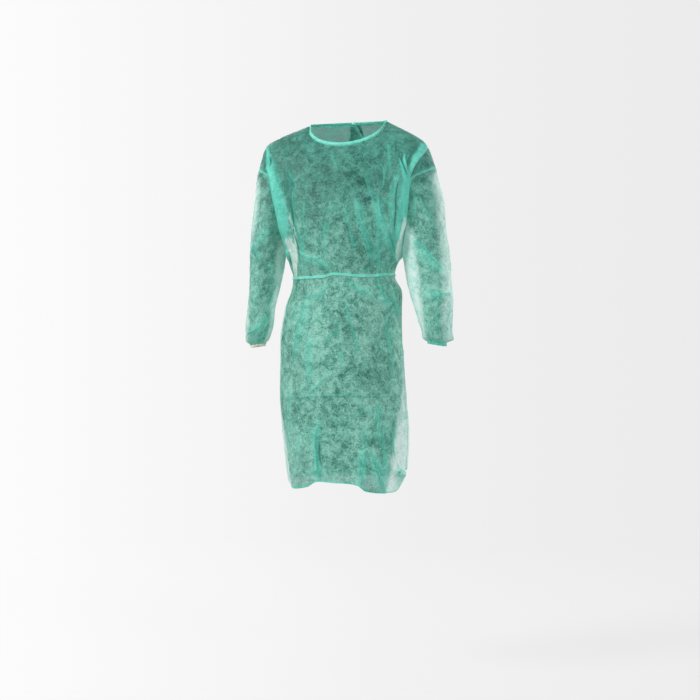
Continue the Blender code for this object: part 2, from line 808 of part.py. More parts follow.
def make_belt_ties():
    """The knot at the back of the waist and its two loose ends."""
    belt_z = between(BELT, 270)[0]
    centre = back_outside(0, belt_z, BELT_KNOT_STANDOFF + LAP_LIFT)
    size = Vector(BELT_KNOT)
    knot_object("belt_knot", centre, size, "trim")
    for hand, name in ((LEFT, "belt_tail_left"), (RIGHT, "belt_tail_right")):
        start = centre + Vector((hand * size.x / 4, 0.001, -size.z * KNOT_FACE - SEAM_GAP))

        def path(share, hand=hand):
            across = hand * (BELT_TAIL_SPREAD[0] + BELT_TAIL_SPREAD[1] * share)
            z = start.z - BELT_TAIL_LENGTH[hand] * share
            point = back_outside(across, z, TAIL_CLEARANCE + LAP_LIFT)
            return point, Vector((1, 0, -hand * BELT_TAIL_SLANT)).normalized()

        make_tail(name, start, path, BELT_WIDTH)


def make_neck_ties():
    """The knot in the gap of the neck binding and its two loose ends."""
    base = top_point(0, BACK) + neck_direction(0, BACK) * (SEAM_GAP / 2 + BINDING_HEIGHT / 2)
    size = Vector(NECK_KNOT)
    centre = base + Vector((0, 0.0025, 0))
    knot_object("neck_knot", centre, size, "trim")
    for hand, name in ((LEFT, "neck_tail_left"), (RIGHT, "neck_tail_right")):
        outside = size.y * KNOT_FACE + SEAM_GAP + TAIL_WALL / 2
        start = centre + Vector((hand * size.x / 3, outside, 0))

        def path(share, hand=hand):
            across = hand * (NECK_TAIL_SPREAD[0] + NECK_TAIL_SPREAD[1] * share)
            level = 5 - 2 * NECK_TAIL_LENGTH[hand] / BACK_LENGTH * share
            point = body_point(across, level, BACK) + Vector((0, TAIL_CLEARANCE + LAP_LIFT, 0))
            return point, Vector((1, 0, hand * NECK_TAIL_SLANT)).normalized()

        make_tail(name, start, path, BINDING_HEIGHT)


def main():
    clear_scene()
    make_front()
    make_back(LEFT)
    make_back(RIGHT)
    for hand in (LEFT, RIGHT):
        make_sleeve(hand)
        make_cuff(hand)
    make_neck_binding()
    make_neck_ties()
    make_waist_belt()
    make_belt_ties()


main()
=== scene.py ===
"""The looks of a surgical gown of thin green non-woven cloth, hollow and in its worn form.

Metres, +Z up. The front faces -Y and the wearer's left is +X. The body is a smooth surface with
two coordinates: "across" runs from -1 at the right side to 1 at the left side, and "level" rises
from 0 at the hem to 1 and 2 at the belt's edges, 3 at the underarm, 4 at the armhole's front
corner and 5 at the shoulder seam and the neck.
"""

import math
import random

import bmesh
import bpy
import numpy as np
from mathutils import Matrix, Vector, noise

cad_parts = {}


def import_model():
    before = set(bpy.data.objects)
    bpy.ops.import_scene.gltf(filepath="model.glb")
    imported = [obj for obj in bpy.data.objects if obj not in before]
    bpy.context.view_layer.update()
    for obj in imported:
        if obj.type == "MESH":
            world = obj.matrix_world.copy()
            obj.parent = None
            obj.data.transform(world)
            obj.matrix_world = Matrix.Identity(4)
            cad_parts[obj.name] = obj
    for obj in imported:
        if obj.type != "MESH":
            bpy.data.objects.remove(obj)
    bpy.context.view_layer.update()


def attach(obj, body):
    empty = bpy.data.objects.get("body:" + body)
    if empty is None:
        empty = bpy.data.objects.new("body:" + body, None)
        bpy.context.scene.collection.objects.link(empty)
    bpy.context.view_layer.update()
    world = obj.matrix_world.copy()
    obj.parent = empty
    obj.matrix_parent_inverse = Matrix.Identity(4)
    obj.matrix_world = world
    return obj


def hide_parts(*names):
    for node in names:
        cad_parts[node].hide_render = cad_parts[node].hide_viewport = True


FRONT, BACK = -1, 1
LEFT, RIGHT = 1, -1
WORDS = {LEFT: "left", RIGHT: "right"}


def metres(table):
    """A table in millimetres, as metres."""
    return tuple(metres(row) if isinstance(row, tuple) else row / 1000 for row in table)


def laps_in_metres(table):
    """Rows of (height, brightness, shape), with lengths in millimetres made into metres."""
    return tuple((height / 1000, bright, metres(shape)) for height, bright, shape in table)


# The camera: level, a little to the wearer's left of the gown's middle
CAMERA_AZIMUTH = 14.0
CAMERA_DISTANCE = 4.2
CAMERA_ASIDE = 0.00435
CAMERA_HEIGHT = -0.661
METRES_PER_PIXEL = 0.0029
PICTURE_PIXELS = 700
SENSOR = 36.0
FLOOR_Z = -1.60
FLOOR_REACH = 3.2
AMBIENT = 0.50
LIGHTS = (
    # name, place, size, power, colour
    ("key", (-3.0, -2.6, 1.7), (1.2, 1.6), 190, (1.0, 0.99, 0.975)),
    ("fill", (3.0, -2.6, 0.9), (1.6, 2.0), 86, (0.98, 0.99, 1.0)),
    ("rim_left", (-2.2, 2.9, 0.9), (1.4, 2.0), 85, (1, 1, 1)),
    ("rim_right", (2.2, 2.9, 0.9), (1.4, 2.0), 85, (1, 1, 1)),
)
LIT_POINT = (0, 0, -0.55)
# The surround's grey from the picture's left to its right, and how much of the floor shows
SURROUND = ((0.0, 0.98), (0.55, 0.87), (1.0, 0.83))
FLOOR_SHOWS = ((0.0, 0.35), (0.5, 0.18), (1.0, 0.0))
FLOOR_RINGS = (0.5, 1, 2, FLOOR_REACH)
FLOOR_SPOKES = 96
FLOOR_COLOUR = (0.58, 0.58, 0.58, 1)

# Tapes and seams
BINDING_HEIGHT = 0.009
BINDING_WALL = 0.0018
BELT_WIDTH = 0.010
BELT_WALL = 0.0011
BELT_RISE = 0.0014
TAIL_WALL = 0.0009
SEAM_WIDTH = 0.0023
SEAM_WALL = 0.0011
CUFF_HEIGHT = 0.009
CUFF_WALL = 0.0014
ELASTIC_HEIGHT = 0.0066
LAP_LIFT = 0.0026
LAP_RAMP = (0.04, 0.16)
THREAD = 0.00022
STITCH_LENGTH = 0.0022
STITCH_STEP = 0.0032
STITCH_SIDES = 6
STITCH_PROFILE = (
    # share of its length, thickness, lift
    (-0.5, 0.25, -0.6),
    (-0.38, 0.9, 0.0),
    (0, 1.0, 0.5),
    (0.38, 0.9, 0.0),
    (0.5, 0.25, -0.6),
)
SEAM_GAP = 0.0003
THREAD_LIFT = 0.0001
BINDING_STEP = 0.0016
BINDING_SEWN_AT = 0.0016
SEAM_STEP = 0.003
SEAM_LIFT = 0.0002
BELT_STEP = 0.0022
BELT_SHOWN_WIDTH = 0.86
BELT_SEWN_AT = 0.34
CUFF_BITE = 0.0006
CUFF_INSET = 0.0004
CUFF_SEWN_AT = 0.30
ELASTIC_WALL = 0.0011
ELASTIC_INSET = 0.0012
TAIL_SHOWN_WIDTH = 0.92
TAIL_SEWN_AT = 0.30

# How finely the cloth is divided
NECK_SHARE = 0.42
FRONT_COLUMNS = 220
BACK_COLUMNS = 140
SKIRT_ROWS = 228
BELT_ROWS = 4
WAIST_ROWS = 28
YOKE_ROWS = 72
SLEEVE_COLUMNS = 220
SLEEVE_ROWS = 224

# The body below the armholes, as level rings
ROUNDNESS = 0.9
TORSO = (
    # z, centre_x, half_width, front_depth, back_depth
    (-1.065, -0.008, 0.164, 0.152, 0.150),
    (-1.000, -0.007, 0.1765, 0.158, 0.157),
    (-0.900, -0.009, 0.183, 0.160, 0.162),
    (-0.800, -0.016, 0.183, 0.158, 0.162),
    (-0.700, -0.019, 0.180, 0.154, 0.158),
    (-0.620, -0.0215, 0.1765, 0.148, 0.150),
    (-0.540, -0.0155, 0.170, 0.138, 0.140),
    (-0.490, -0.006, 0.1605, 0.128, 0.129),
    (-0.450, -0.0135, 0.148, 0.119, 0.119),
    (-0.420, -0.015, 0.1545, 0.124, 0.122),
    (-0.377, -0.010, 0.174, 0.132, 0.129),
)

# The hem and the belt round the wearer: 0 is the left side, 90 the front, 180 the right side
HEM = (
    # degrees, z
    (0, -1.004),
    (4, -1.033),
    (12, -1.060),
    (33, -1.064),
    (58, -1.057),
    (66, -1.040),
    (90, -1.034),
    (107, -1.032),
    (116, -1.047),
    (138, -1.055),
    (160, -1.044),
    (180, -1.036),
    (225, -1.042),
    (270, -1.038),
    (315, -1.032),
    (345, -1.003),
    (360, -1.004),
)
BELT = (
    # degrees, z of its middle
    (0, -0.4445),
    (20, -0.4455),
    (57, -0.4525),
    (90, -0.4470),
    (105, -0.4540),
    (172, -0.4530),
    (225, -0.4480),
    (315, -0.4450),
    (360, -0.4445),
)

# Long waves of the skirt, deepest at the hem
FLUTES = (
    # degrees, width in degrees, height at the hem, z where it ends
    (50, 17, 0.010, -0.72),
    (82, 13, -0.007, -0.80),
    (104, 6, -0.007, -0.86),
    (128, 15, 0.009, -0.74),
    (158, 12, -0.005, -0.80),
    (200, 14, 0.008, -0.70),
    (228, 12, -0.007, -0.72),
    (312, 13, -0.007, -0.72),
    (334, 13, 0.005, -0.72),
)

# The yoke from the underarm to the armhole's corner
UNDERARM_Z = -0.377
UNDERARM_SLANT = 0.009
CHEST = (
    # share of the way up, centre_x, z, front_depth, back_depth
    (0, -0.010, -0.377, 0.132, 0.129),
    (0.35, -0.007, -0.315, 0.137, 0.136),
    (0.7, -0.003, -0.245, 0.136, 0.140),
    (1, 0, -0.168, 0.121, 0.134),
)
ARMHOLE = {
    LEFT: (
        # share of the way up, x, depth, z
        (0, 0.164, 0, -0.386),
        (0.15, 0.168, 0.022, -0.369),
        (0.4, 0.180, 0.050, -0.315),
        (0.7, 0.188, 0.066, -0.250),
        (1, 0.1935, 0.070, -0.184),
    ),
    RIGHT: (
        (0, -0.184, 0, -0.368),
        (0.15, -0.185, 0.022, -0.355),
        (0.4, -0.188, 0.050, -0.305),
        (0.7, -0.197, 0.066, -0.240),
        (1, -0.2072, 0.070, -0.170),
    ),
}

# The shoulder seam and the seam under the neck binding
SHOULDER = {
    LEFT: (
        # share of the way out, x, z
        (0, 0.1165, -0.004),
        (0.50, 0.208, -0.054),
        (0.72, 0.234, -0.081),
        (1, 0.2577, -0.144),
    ),
    RIGHT: (
        (0, -0.1175, -0.009),
        (0.50, -0.208, -0.042),
        (0.76, -0.248, -0.067),
        (1, -0.2718, -0.134),
    ),
}
NECK_MIDDLE = {
    # depth, z
    FRONT: (0.0870, -0.0780),
    BACK: (0.078, 0.003),
}
NECK_LEAN = {FRONT: 0.45, BACK: 0.80}
NECK_SIDE_LEAN = 1.1
CROWN_LEAVE = 0.9
CROWN_LEAVE_LESS_AT_SIDE = 0.5
CROWN_ARRIVE = 0.9

# How far each back panel passes the middle of the back
LAP = (
    # level, share of the half width
    (0, 0.30),
    (1, 0.25),
    (3, 0.21),
    (4, 0.15),
    (4.6, 0.08),
    (5, 0.0),
)

# The main folds, with the solids' sizes: ridges are above the cloth and troughs below it
FRONT_FOLDS = metres((
    # width, height, path of (x, z), all in millimetres
    (15, 12, ((-215, -115), (-190, -180), (-166, -277), (-157, -340))),
    (13, 10, ((178, -150), (167, -200), (156, -290), (140, -370))),
    (14, -6, ((-140, -130), (-150, -220), (-138, -330))),
    (13, 6, ((57, -246), (83, -330), (104, -415))),
    (12, 5, ((110, -229), (129, -317), (140, -396))),
    (12, 5, ((105, -470), (116, -494), (138, -545))),
    (12, 4, ((-110, -390), (-59, -416), (-15, -438))),
    (12, 5, ((-21, -462), (-37, -480), (-86, -510))),
    (13, 5, ((30, -468), (60, -492), (111, -512))),
    (14, 6, ((-85, -520), (-104, -590), (-123, -660))),
    (13, 4, ((-80, -613), (-78, -759))),
    (12, 8, ((-48, -868), (-56, -936), (-52, -985), (-50, -1040))),
    (13, 6, ((80, -930), (74, -996), (67, -1060))),
    (13, 6, ((104, -950), (118, -1015), (128, -1064))),
    (11, 6, ((140, -985), (161, -1014), (172, -1036))),
))
BACK_FOLDS = metres((
    (15, 9, ((164, -165), (148, -270), (136, -365))),
    (15, 9, ((-176, -160), (-160, -270), (-146, -355))),
    (14, 5, ((100, -300), (112, -380), (105, -432))),
    (14, 5, ((-118, -310), (-120, -385), (-108, -435))),
    (14, 6, ((98, -466), (112, -520), (128, -620))),
    (14, 6, ((-106, -470), (-122, -530), (-136, -640))),
))
FOLD_END = 0.035
FOLD_END_SHARE = 0.35
FOLD_FADE_ACROSS = 0.09
FOLD_FADE_LEVEL = 0.25

# Sharp creases of the papery cloth: each falls away slowly to one side and sharply to the other
FRONT_CREASES = metres((
    # width, height, path of (x, z), all in millimetres
    (4, 3, ((-230, -90), (-202, -157), (-191, -204), (-174, -277), (-166, -358))),
    (3.6, 2.8, ((113, -221), (115, -283), (112, -366), (105, -449), (121, -506), (138, -536))),
    (3.6, 3, ((116, -224), (122, -275), (136, -330), (145, -399))),
    (3.6, 2.6, ((52, -227), (68, -283), (82, -344), (92, -397), (98, -430))),
    (3.4, 2.2, ((114, -127), (129, -156), (128, -199), (118, -222))),
    (3.4, 2.4, ((116, -224), (140, -250), (162, -275), (173, -285))),
    (3.4, 2, ((49, -450), (76, -435), (106, -423))),
    (3.4, 2.8, ((-136, -367), (-102, -391), (-70, -401), (-46, -415), (-15, -440))),
    (3.4, 2.2, ((-112, -320), (-104, -363), (-100, -411), (-107, -447))),
    (3.4, 2, ((-109, -86), (-90, -94), (-77, -103))),
    (3.4, 2, ((-161, -131), (-147, -161), (-118, -207))),
    (3.4, 2, ((-132, -190), (-136, -240), (-126, -300), (-112, -340))),
    (3.4, 2.6, ((-21, -455), (-39, -492), (-68, -511), (-99, -508), (-128, -502))),
    (3.4, 2.6, ((19, -455), (49, -487), (90, -509), (112, -512))),
    (3, 1.8, ((47, -455), (67, -487), (80, -530))),
    (3.4, 2.2, ((20, -506), (33, -563), (50, -619), (65, -689))),
    (3.4, 1.8, ((7, -647), (16, -689), (24, -720))),
    (3.6, 3, ((-91, -516), (-103, -570), (-120, -647), (-128, -700))),
    (3.4, 2.4, ((-113, -507), (-130, -553), (-145, -604))),
    (3.4, 1.8, ((-80, -613), (-76, -690), (-78, -759))),
    (3.4, 2.2, ((-90, -796), (-49, -759), (-14, -723))),
    (3.6, 3.4, ((-46, -855), (-51, -913), (-49, -969), (-39, -1020))),
    (3.4, 2.8, ((-100, -985), (-78, -1008), (-56, -998), (-44, -1004), (-22, -1022))),
    (3.4, 2.6, ((64, -792), (72, -828), (80, -856))),
    (3.4, 2.2, ((87, -815), (96, -850))),
    (3.4, 2.8, ((124, -801), (118, -843), (117, -885), (108, -930))),
    (3.4, 2.6, ((96, -800), (110, -830), (104, -880))),
    (3.4, 2.2, ((81, -866), (83, -907), (93, -940))),
    (3.6, 3.4, ((82, -948), (77, -995), (70, -1050))),
    (3.6, 3.4, ((95, -945), (113, -982), (129, -1060))),
    (3.4, 2.2, ((136, -860), (128, -910), (132, -960), (124, -1010))),
    (3.4, 1.4, ((-185, -810), (-120, -794), (15, -787), (118, -789), (162, -789))),
    (3.4, 3, ((138, -1030), (147, -1022), (160, -1001), (174, -988))),
    (3.4, 2.2, ((146, -990), (160, -1012), (178, -1036))),
    (3.4, 2.2, ((158, -860), (150, -920), (156, -980))),
    (3.4, 1.8, ((122, -560), (136, -640), (150, -730))),
    (3.4, 1.8, ((132, -500), (152, -540), (160, -600))),
    (3.4, 1.8, ((-140, -790), (-150, -860), (-146, -930))),
    (3.4, 1.8, ((-100, -880), (-112, -940), (-94, -985))),
    (3.4, 1.8, ((-30, -280), (-38, -340), (-30, -420))),
    (3.4, 1.8, ((20, -250), (34, -310), (50, -400))),
    (3.4, 1.8, ((70, -160), (92, -215), (108, -270))),
    (3.4, 1.8, ((128, -60), (140, -110), (146, -170))),
    (3.4, 1.8, ((-96, -230), (-100, -300), (-88, -360))),
    (3.4, 1.4, ((-30, -85), (-20, -120), (4, -160))),
))
BACK_CREASES = metres((
    (4, 2.8, ((176, -150), (160, -215), (150, -290), (138, -372))),
    (4, 2.6, ((-190, -150), (-172, -220), (-158, -300), (-146, -360))),
    (3.6, 2.6, ((94, -250), (110, -330), (104, -432))),
    (3.6, 2.6, ((-108, -270), (-122, -350), (-106, -435))),
    (3.4, 2.2, ((40, -330), (46, -390), (36, -438))),
    (3.4, 2.2, ((-50, -340), (-54, -400), (-44, -440))),
    (3.6, 2.8, ((96, -460), (112, -520), (130, -640))),
    (3.6, 2.8, ((-104, -462), (-122, -530), (-138, -650))),
    (3.4, 2.4, ((40, -460), (52, -520), (60, -600))),
    (3.4, 2.4, ((-66, -460), (-74, -530), (-82, -590))),
    (3.4, 2, ((10, -470), (2, -540), (12, -620))),
    (3.4, 1.4, ((-175, -790), (-60, -786), (50, -790), (160, -788))),
    (3.6, 3, ((90, -900), (98, -970), (92, -1040))),
    (3.6, 3, ((-70, -880), (-80, -960), (-76, -1040))),
    (3.4, 2, ((130, -700), (140, -780), (136, -850))),
    (3.4, 2, ((-20, -640), (-12, -720), (-22, -800))),
    (3.4, 2, ((-140, -720), (-146, -800), (-138, -870))),
    (3.4, 2.2, ((100, -60), (116, -110), (120, -180))),
    (3.4, 2.2, ((-104, -62), (-120, -112), (-126, -170))),
    (3.4, 2, ((50, -60), (62, -120), (60, -190))),
    (3.4, 2, ((-56, -70), (-68, -130), (-64, -200))),
    (3.4, 2.2, ((150, -880), (144, -950), (152, -1020))),
    (3.4, 2.2, ((-150, -900), (-140, -970), (-148, -1030))),
))

# The sleeves as level rings, and the cuff seam at each one's end
SLEEVE = {
    LEFT: (
        # z, centre_x, centre_y, half_width, half_depth
        (-0.637, 0.2630, -0.012, 0.0245, 0.031),
        (-0.634, 0.2645, -0.012, 0.0300, 0.036),
        (-0.628, 0.2665, -0.011, 0.0405, 0.047),
        (-0.603, 0.2613, -0.010, 0.0445, 0.054),
        (-0.562, 0.2555, -0.008, 0.0517, 0.062),
        (-0.516, 0.2490, -0.006, 0.0595, 0.069),
        (-0.470, 0.2395, -0.003, 0.0630, 0.073),
        (-0.406, 0.2316, 0, 0.0653, 0.076),
        (-0.313, 0.2225, 0, 0.0643, 0.075),
        (-0.233, 0.2155, 0, 0.0655, 0.073),
        (-0.184, 0.2090, 0, 0.0590, 0.071),
        (-0.130, 0.2000, 0, 0.0550, 0.066),
    ),
    RIGHT: (
        (-0.642, -0.2709, -0.012, 0.0205, 0.030),
        (-0.639, -0.2714, -0.012, 0.0245, 0.034),
        (-0.633, -0.2724, -0.011, 0.0310, 0.043),
        (-0.609, -0.2685, -0.010, 0.0361, 0.054),
        (-0.586, -0.2654, -0.010, 0.0388, 0.060),
        (-0.539, -0.2615, -0.008, 0.0375, 0.068),
        (-0.470, -0.2518, -0.003, 0.0424, 0.076),
        (-0.423, -0.2468, 0, 0.0468, 0.080),
        (-0.377, -0.2445, 0, 0.0476, 0.081),
        (-0.300, -0.2390, 0, 0.0500, 0.079),
        (-0.230, -0.2315, 0, 0.0510, 0.076),
        (-0.170, -0.2210, 0, 0.0560, 0.072),
        (-0.120, -0.2120, 0, 0.0540, 0.066),
    ),
}
CUFF_TILT = {LEFT: 0.004, RIGHT: 0.003}
TILT_RUN = 0.6
SET_IN_RUN = 0.35
GATHERS = 14
GATHER_HEIGHT = 0.0016
GATHER_RUN = 0.86
SMALL_GATHER_RUN = 0.93
# The rows lie closer together towards the cuff
ROW_SHIFT = 0.35
ROW_SHIFT_FROM = 0.3
SMALL_GATHERS = 42
SMALL_GATHER_HEIGHT = 0.0007
SLEEVE_GIRTH = 0.42
SLEEVE_FOLD_RUN = 0.1
SLEEVE_CREASE_RUN = 0.03
SLEEVE_FOLDS = {
    LEFT: (
        # width, height, path of (turn, z), where turn is 0 outside and 0.25 in front
        (0.016, 0.006, ((0.36, -0.330), (0.27, -0.380), (0.16, -0.425), (0.08, -0.440))),
        (0.014, 0.005, ((0.05, -0.500), (0.17, -0.506), (0.26, -0.500))),
        (0.016, 0.006, ((0.66, -0.380), (0.78, -0.430), (0.88, -0.460))),
        (0.016, 0.005, ((0.58, -0.500), (0.72, -0.520), (0.84, -0.512))),
        (0.012, 0.006, ((0.40, -0.618), (0.46, -0.630), (0.56, -0.626))),
    ),
    RIGHT: (
        (0.016, 0.005, ((0.34, -0.300), (0.24, -0.350), (0.12, -0.380))),
        (0.014, 0.005, ((0.40, -0.560), (0.27, -0.600), (0.14, -0.625))),
        (0.016, 0.005, ((0.60, -0.400), (0.74, -0.450), (0.86, -0.470))),
        (0.014, 0.005, ((0.64, -0.560), (0.76, -0.590), (0.88, -0.585))),
    ),
}
SLEEVE_CREASES = {
    LEFT: (
        (0.0036, 0.0034, ((0.33, -0.338), (0.27, -0.362), (0.22, -0.372), (0.18, -0.408), (0.09, -0.441))),
        (0.0034, 0.0026, ((0.22, -0.204), (0.20, -0.233), (0.19, -0.261), (0.16, -0.289), (0.15, -0.325))),
        (0.0030, 0.0022, ((0.30, -0.186), (0.26, -0.196), (0.22, -0.204))),
        (0.0034, 0.0024, ((0.02, -0.496), (0.10, -0.503), (0.18, -0.500))),
        (0.0030, 0.0018, ((0.40, -0.412), (0.35, -0.418), (0.31, -0.408))),
        (0.0030, 0.0018, ((0.26, -0.205), (0.25, -0.250), (0.28, -0.300))),
        (0.0030, 0.0020, ((0.16, -0.540), (0.20, -0.585), (0.17, -0.625))),
        (0.0034, 0.0024, ((0.38, -0.560), (0.40, -0.600), (0.44, -0.628))),
        (0.0034, 0.0024, ((0.62, -0.300), (0.72, -0.370), (0.86, -0.430))),
        (0.0034, 0.0022, ((0.60, -0.480), (0.70, -0.505), (0.84, -0.498))),
        (0.0030, 0.0020, ((0.92, -0.300), (0.95, -0.380), (0.93, -0.460))),
        (0.0030, 0.0020, ((0.68, -0.560), (0.74, -0.600), (0.71, -0.628))),
    ),
    RIGHT: (
        (0.0036, 0.0028, ((0.18, -0.345), (0.22, -0.380), (0.29, -0.421))),
        (0.0034, 0.0022, ((0.29, -0.421), (0.35, -0.423), (0.42, -0.421))),
        (0.0036, 0.0034, ((0.46, -0.545), (0.41, -0.568), (0.33, -0.590), (0.22, -0.607), (0.12, -0.618))),
        (0.0034, 0.0028, ((0.46, -0.590), (0.40, -0.606), (0.33, -0.622), (0.24, -0.632))),
        (0.0034, 0.0030, ((0.46, -0.440), (0.44, -0.480), (0.41, -0.520), (0.39, -0.560))),
        (0.0030, 0.0018, ((0.30, -0.300), (0.25, -0.326), (0.20, -0.345))),
        (0.0030, 0.0018, ((0.10, -0.220), (0.13, -0.290), (0.10, -0.350))),
        (0.0030, 0.0018, ((0.28, -0.180), (0.31, -0.205), (0.27, -0.228), (0.32, -0.246))),
        (0.0030, 0.0018, ((0.20, -0.470), (0.26, -0.500), (0.24, -0.540))),
        (0.0034, 0.0024, ((0.60, -0.330), (0.72, -0.390), (0.84, -0.430))),
        (0.0034, 0.0022, ((0.62, -0.520), (0.74, -0.560), (0.88, -0.570))),
        (0.0030, 0.0020, ((0.90, -0.300), (0.94, -0.380), (0.91, -0.450))),
    ),
}

# Laps, where the cloth folds over itself and looks brighter: a sharp outer edge and a soft inner one
FRONT_LAPS = laps_in_metres((
    # height, brightness, rows of (z, outer x, inner x), in millimetres
    (6, 1.0, (
        (-392, -165, -160), (-347, -171, -150), (-310, -176, -145), (-262, -184, -149),
        (-213, -193, -163), (-169, -200, -181), (-113, -219, -206), (-78, -232, -226),
    )),
    (3, 0.8, ((-140, -209, -203), (-105, -226, -218), (-92, -231, -225))),
    (5, 1.0, (
        (-340, 166, 152), (-311, 178, 157), (-255, 188, 163), (-199, 193, 171), (-180, 193.5, 175),
        (-160, 190, 174), (-140, 181, 171), (-122, 172, 168),
    )),
    (4, 1.0, ((-182, 193, 190.5), (-160, 191.5, 183.5), (-140, 189.5, 178.5), (-120, 184, 178))),
    (4.5, 1.0, (
        (-176, 194.5, 192), (-150, 204, 192.5), (-130, 214, 196.5), (-105, 227, 204.5),
        (-82, 236, 216),
    )),
    (3.5, 0.34, ((-400, 146, 139), (-330, 137, 117), (-275, 123, 115), (-236, 117, 114.5))),
    (2.5, 0.16, ((-397, 92, 80), (-344, 82, 66), (-283, 68, 56), (-235, 53, 49))),
    (2.5, 0.26, ((-430, -106, -118), (-363, -104, -122), (-320, -112, -122))),
    (3.5, 0.3, ((-1050, 68, 78), (-995, 76, 86), (-950, 82, 88))),
    (3.5, 0.3, ((-1056, 130, 116), (-1000, 116, 104), (-948, 96, 93))),
    (4, 0.3, ((-1010, -42, -52), (-969, -49, -60), (-913, -51, -60), (-860, -46, -50))),
    (3, 0.12, ((-690, -127, -119), (-640, -119, -109), (-570, -103, -95), (-516, -91, -86))),
    (4, 0.7, ((-1046, 184, 146), (-1014, 172, 150), (-992, 160, 156))),
))
BACK_LAPS = laps_in_metres((
    (6, 0.9, (
        (-400, 160, 146), (-369, 167, 146), (-315, 179, 154), (-250, 187, 160), (-184, 192, 168),
        (-140, 200, 190),
    )),
    (6, 0.9, (
        (-400, -168, -156), (-355, -180, -158), (-305, -184, -160), (-240, -192, -166),
        (-170, -203, -180), (-130, -212, -202),
    )),
    (3.5, 0.22, ((-430, 104, 92), (-330, 110, 94), (-250, 94, 86))),
    (3.5, 0.22, ((-432, -106, -92), (-350, -122, -104), (-270, -108, -100))),
    (3.5, 0.22, ((-640, 130, 118), (-520, 112, 98), (-464, 96, 90))),
    (3.5, 0.22, ((-650, -138, -124), (-530, -122, -108), (-466, -104, -98))),
    (4, 0.26, ((-1035, 92, 80), (-970, 98, 86), (-900, 90, 84))),
    (4, 0.26, ((-1035, -76, -64), (-960, -80, -68), (-880, -70, -64))),
))
# Painted backlight: single cloth painted nearly white, as if light came through it
FRONT_PAINTED_BACKLIGHT = (
    # how much painted backlight, rows of (z, outer x, inner x)
    (0.9, (
        (-0.440, -0.148, -0.134),
        (-0.398, -0.152, -0.126),
        (-0.368, -0.160, -0.129),
        (-0.352, -0.162, -0.140),
    )),
    (0.8, (
        (-0.362, -0.131, -0.127),
        (-0.325, -0.136, -0.129),
        (-0.296, -0.145, -0.140),
        (-0.284, -0.148, -0.145),
    )),
    (0.9, ((-0.400, 0.154, 0.146), (-0.372, 0.164, 0.152), (-0.337, 0.172, 0.164), (-0.300, 0.181, 0.175))),
)
BACK_PAINTED_BACKLIGHT = (
    (0.7, ((-0.420, 0.152, 0.140), (-0.372, 0.164, 0.146), (-0.337, 0.172, 0.160))),
    (0.7, ((-0.440, -0.152, -0.138), (-0.398, -0.158, -0.136), (-0.360, -0.170, -0.154))),
)
PAINTED_BACKLIGHT_SOFT = 0.004
LAP_DROP = 0.0035
LAP_EDGE = 0.0022
LAP_END = 0.020
LAP_NARROWEST = 0.002
# Troughs beside the laps, sunk into the cloth and darkened with painted shade
TROUGHS_WITH_PAINTED_SHADE = metres((
    # width, depth, path of (x, z), all in millimetres
    (3.6, 4, ((162, -87), (168, -112), (179, -141), (193, -183))),
    (3.4, 3.4, ((213, -79), (198, -111), (190, -135), (192, -160))),
    (3.4, 3, ((150, -62), (157, -90), (160, -118))),
    (3.6, 3.4, ((-222, -88), (-209, -118), (-200, -146))),
    (3.4, 3, ((171, -170), (162, -220), (158, -280), (150, -340))),
    (3.4, 2.6, ((-145, -230), (-139, -280), (-136, -320), (-122, -370), (-118, -420))),
    (3.4, 2.2, ((-43, -900), (-44, -960), (-34, -1000))),
    (3.4, 2.2, ((130, -300), (142, -350), (150, -400))),
))

# Painted shade: how much darker the cloth is painted at each height, most over the shoulders and yoke
PAINTED_SHADE_BY_HEIGHT = (
    # z, how much painted shade
    (-1.07, 0.0),
    (-0.60, 0.0),
    (-0.42, 0.10),
    (-0.30, 0.42),
    (-0.20, 0.92),
    (-0.12, 1.0),
    (0.02, 1.0),
)

# Where the cloth hangs free it gets painted backlight that makes it paler: the edge of the pale part at each
# height
FREE_SIDES_BACKLIGHT = {
    LEFT: (
        # z, how far across it begins, how pale it is
        (-1.065, 0.60, 1.0),
        (-0.940, 0.66, 1.0),
        (-0.870, 0.74, 0.9),
        (-0.780, 0.90, 0.6),
        (-0.650, 0.98, 0.0),
    ),
    RIGHT: (
        (-1.065, 0.56, 0.9),
        (-0.970, 0.60, 0.9),
        (-0.890, 0.68, 0.8),
        (-0.800, 0.80, 0.7),
        (-0.700, 0.76, 0.8),
        (-0.600, 0.72, 0.9),
        (-0.525, 0.74, 0.9),
        (-0.500, 0.90, 0.2),
        (-0.460, 0.95, 0.0),
    ),
}
FREE_SLEEVE_BACKLIGHT = {
    LEFT: (
        # z, end of the outer part in turns, start of the inner part, how pale each is
        (-0.640, 0.15, 0.38, 0.7, 0.8),
        (-0.570, 0.14, 0.34, 0.8, 1.0),
        (-0.480, 0.12, 0.31, 0.8, 1.0),
        (-0.400, 0.11, 0.30, 0.7, 1.0),
        (-0.330, 0.10, 0.31, 0.8, 0.9),
        (-0.290, 0.10, 0.36, 0.9, 0.2),
        (-0.240, 0.09, 0.42, 0.9, 0.0),
        (-0.160, 0.06, 0.50, 0.9, 0.0),
        (-0.145, 0.03, 0.50, 0.0, 0.0),
    ),
    RIGHT: (
        (-0.640, 0.16, 0.44, 0.6, 0.7),
        (-0.600, 0.17, 0.45, 0.9, 0.9),
        (-0.540, 0.16, 0.45, 0.8, 1.0),
        (-0.470, 0.12, 0.44, 0.2, 1.0),
        (-0.405, 0.10, 0.42, 0.2, 1.0),
        (-0.350, 0.15, 0.43, 0.6, 0.9),
        (-0.300, 0.17, 0.46, 0.9, 0.2),
        (-0.226, 0.155, 0.48, 0.9, 0.0),
        (-0.172, 0.10, 0.50, 0.8, 0.0),
        (-0.150, 0.08, 0.50, 0.0, 0.0),
    ),
}

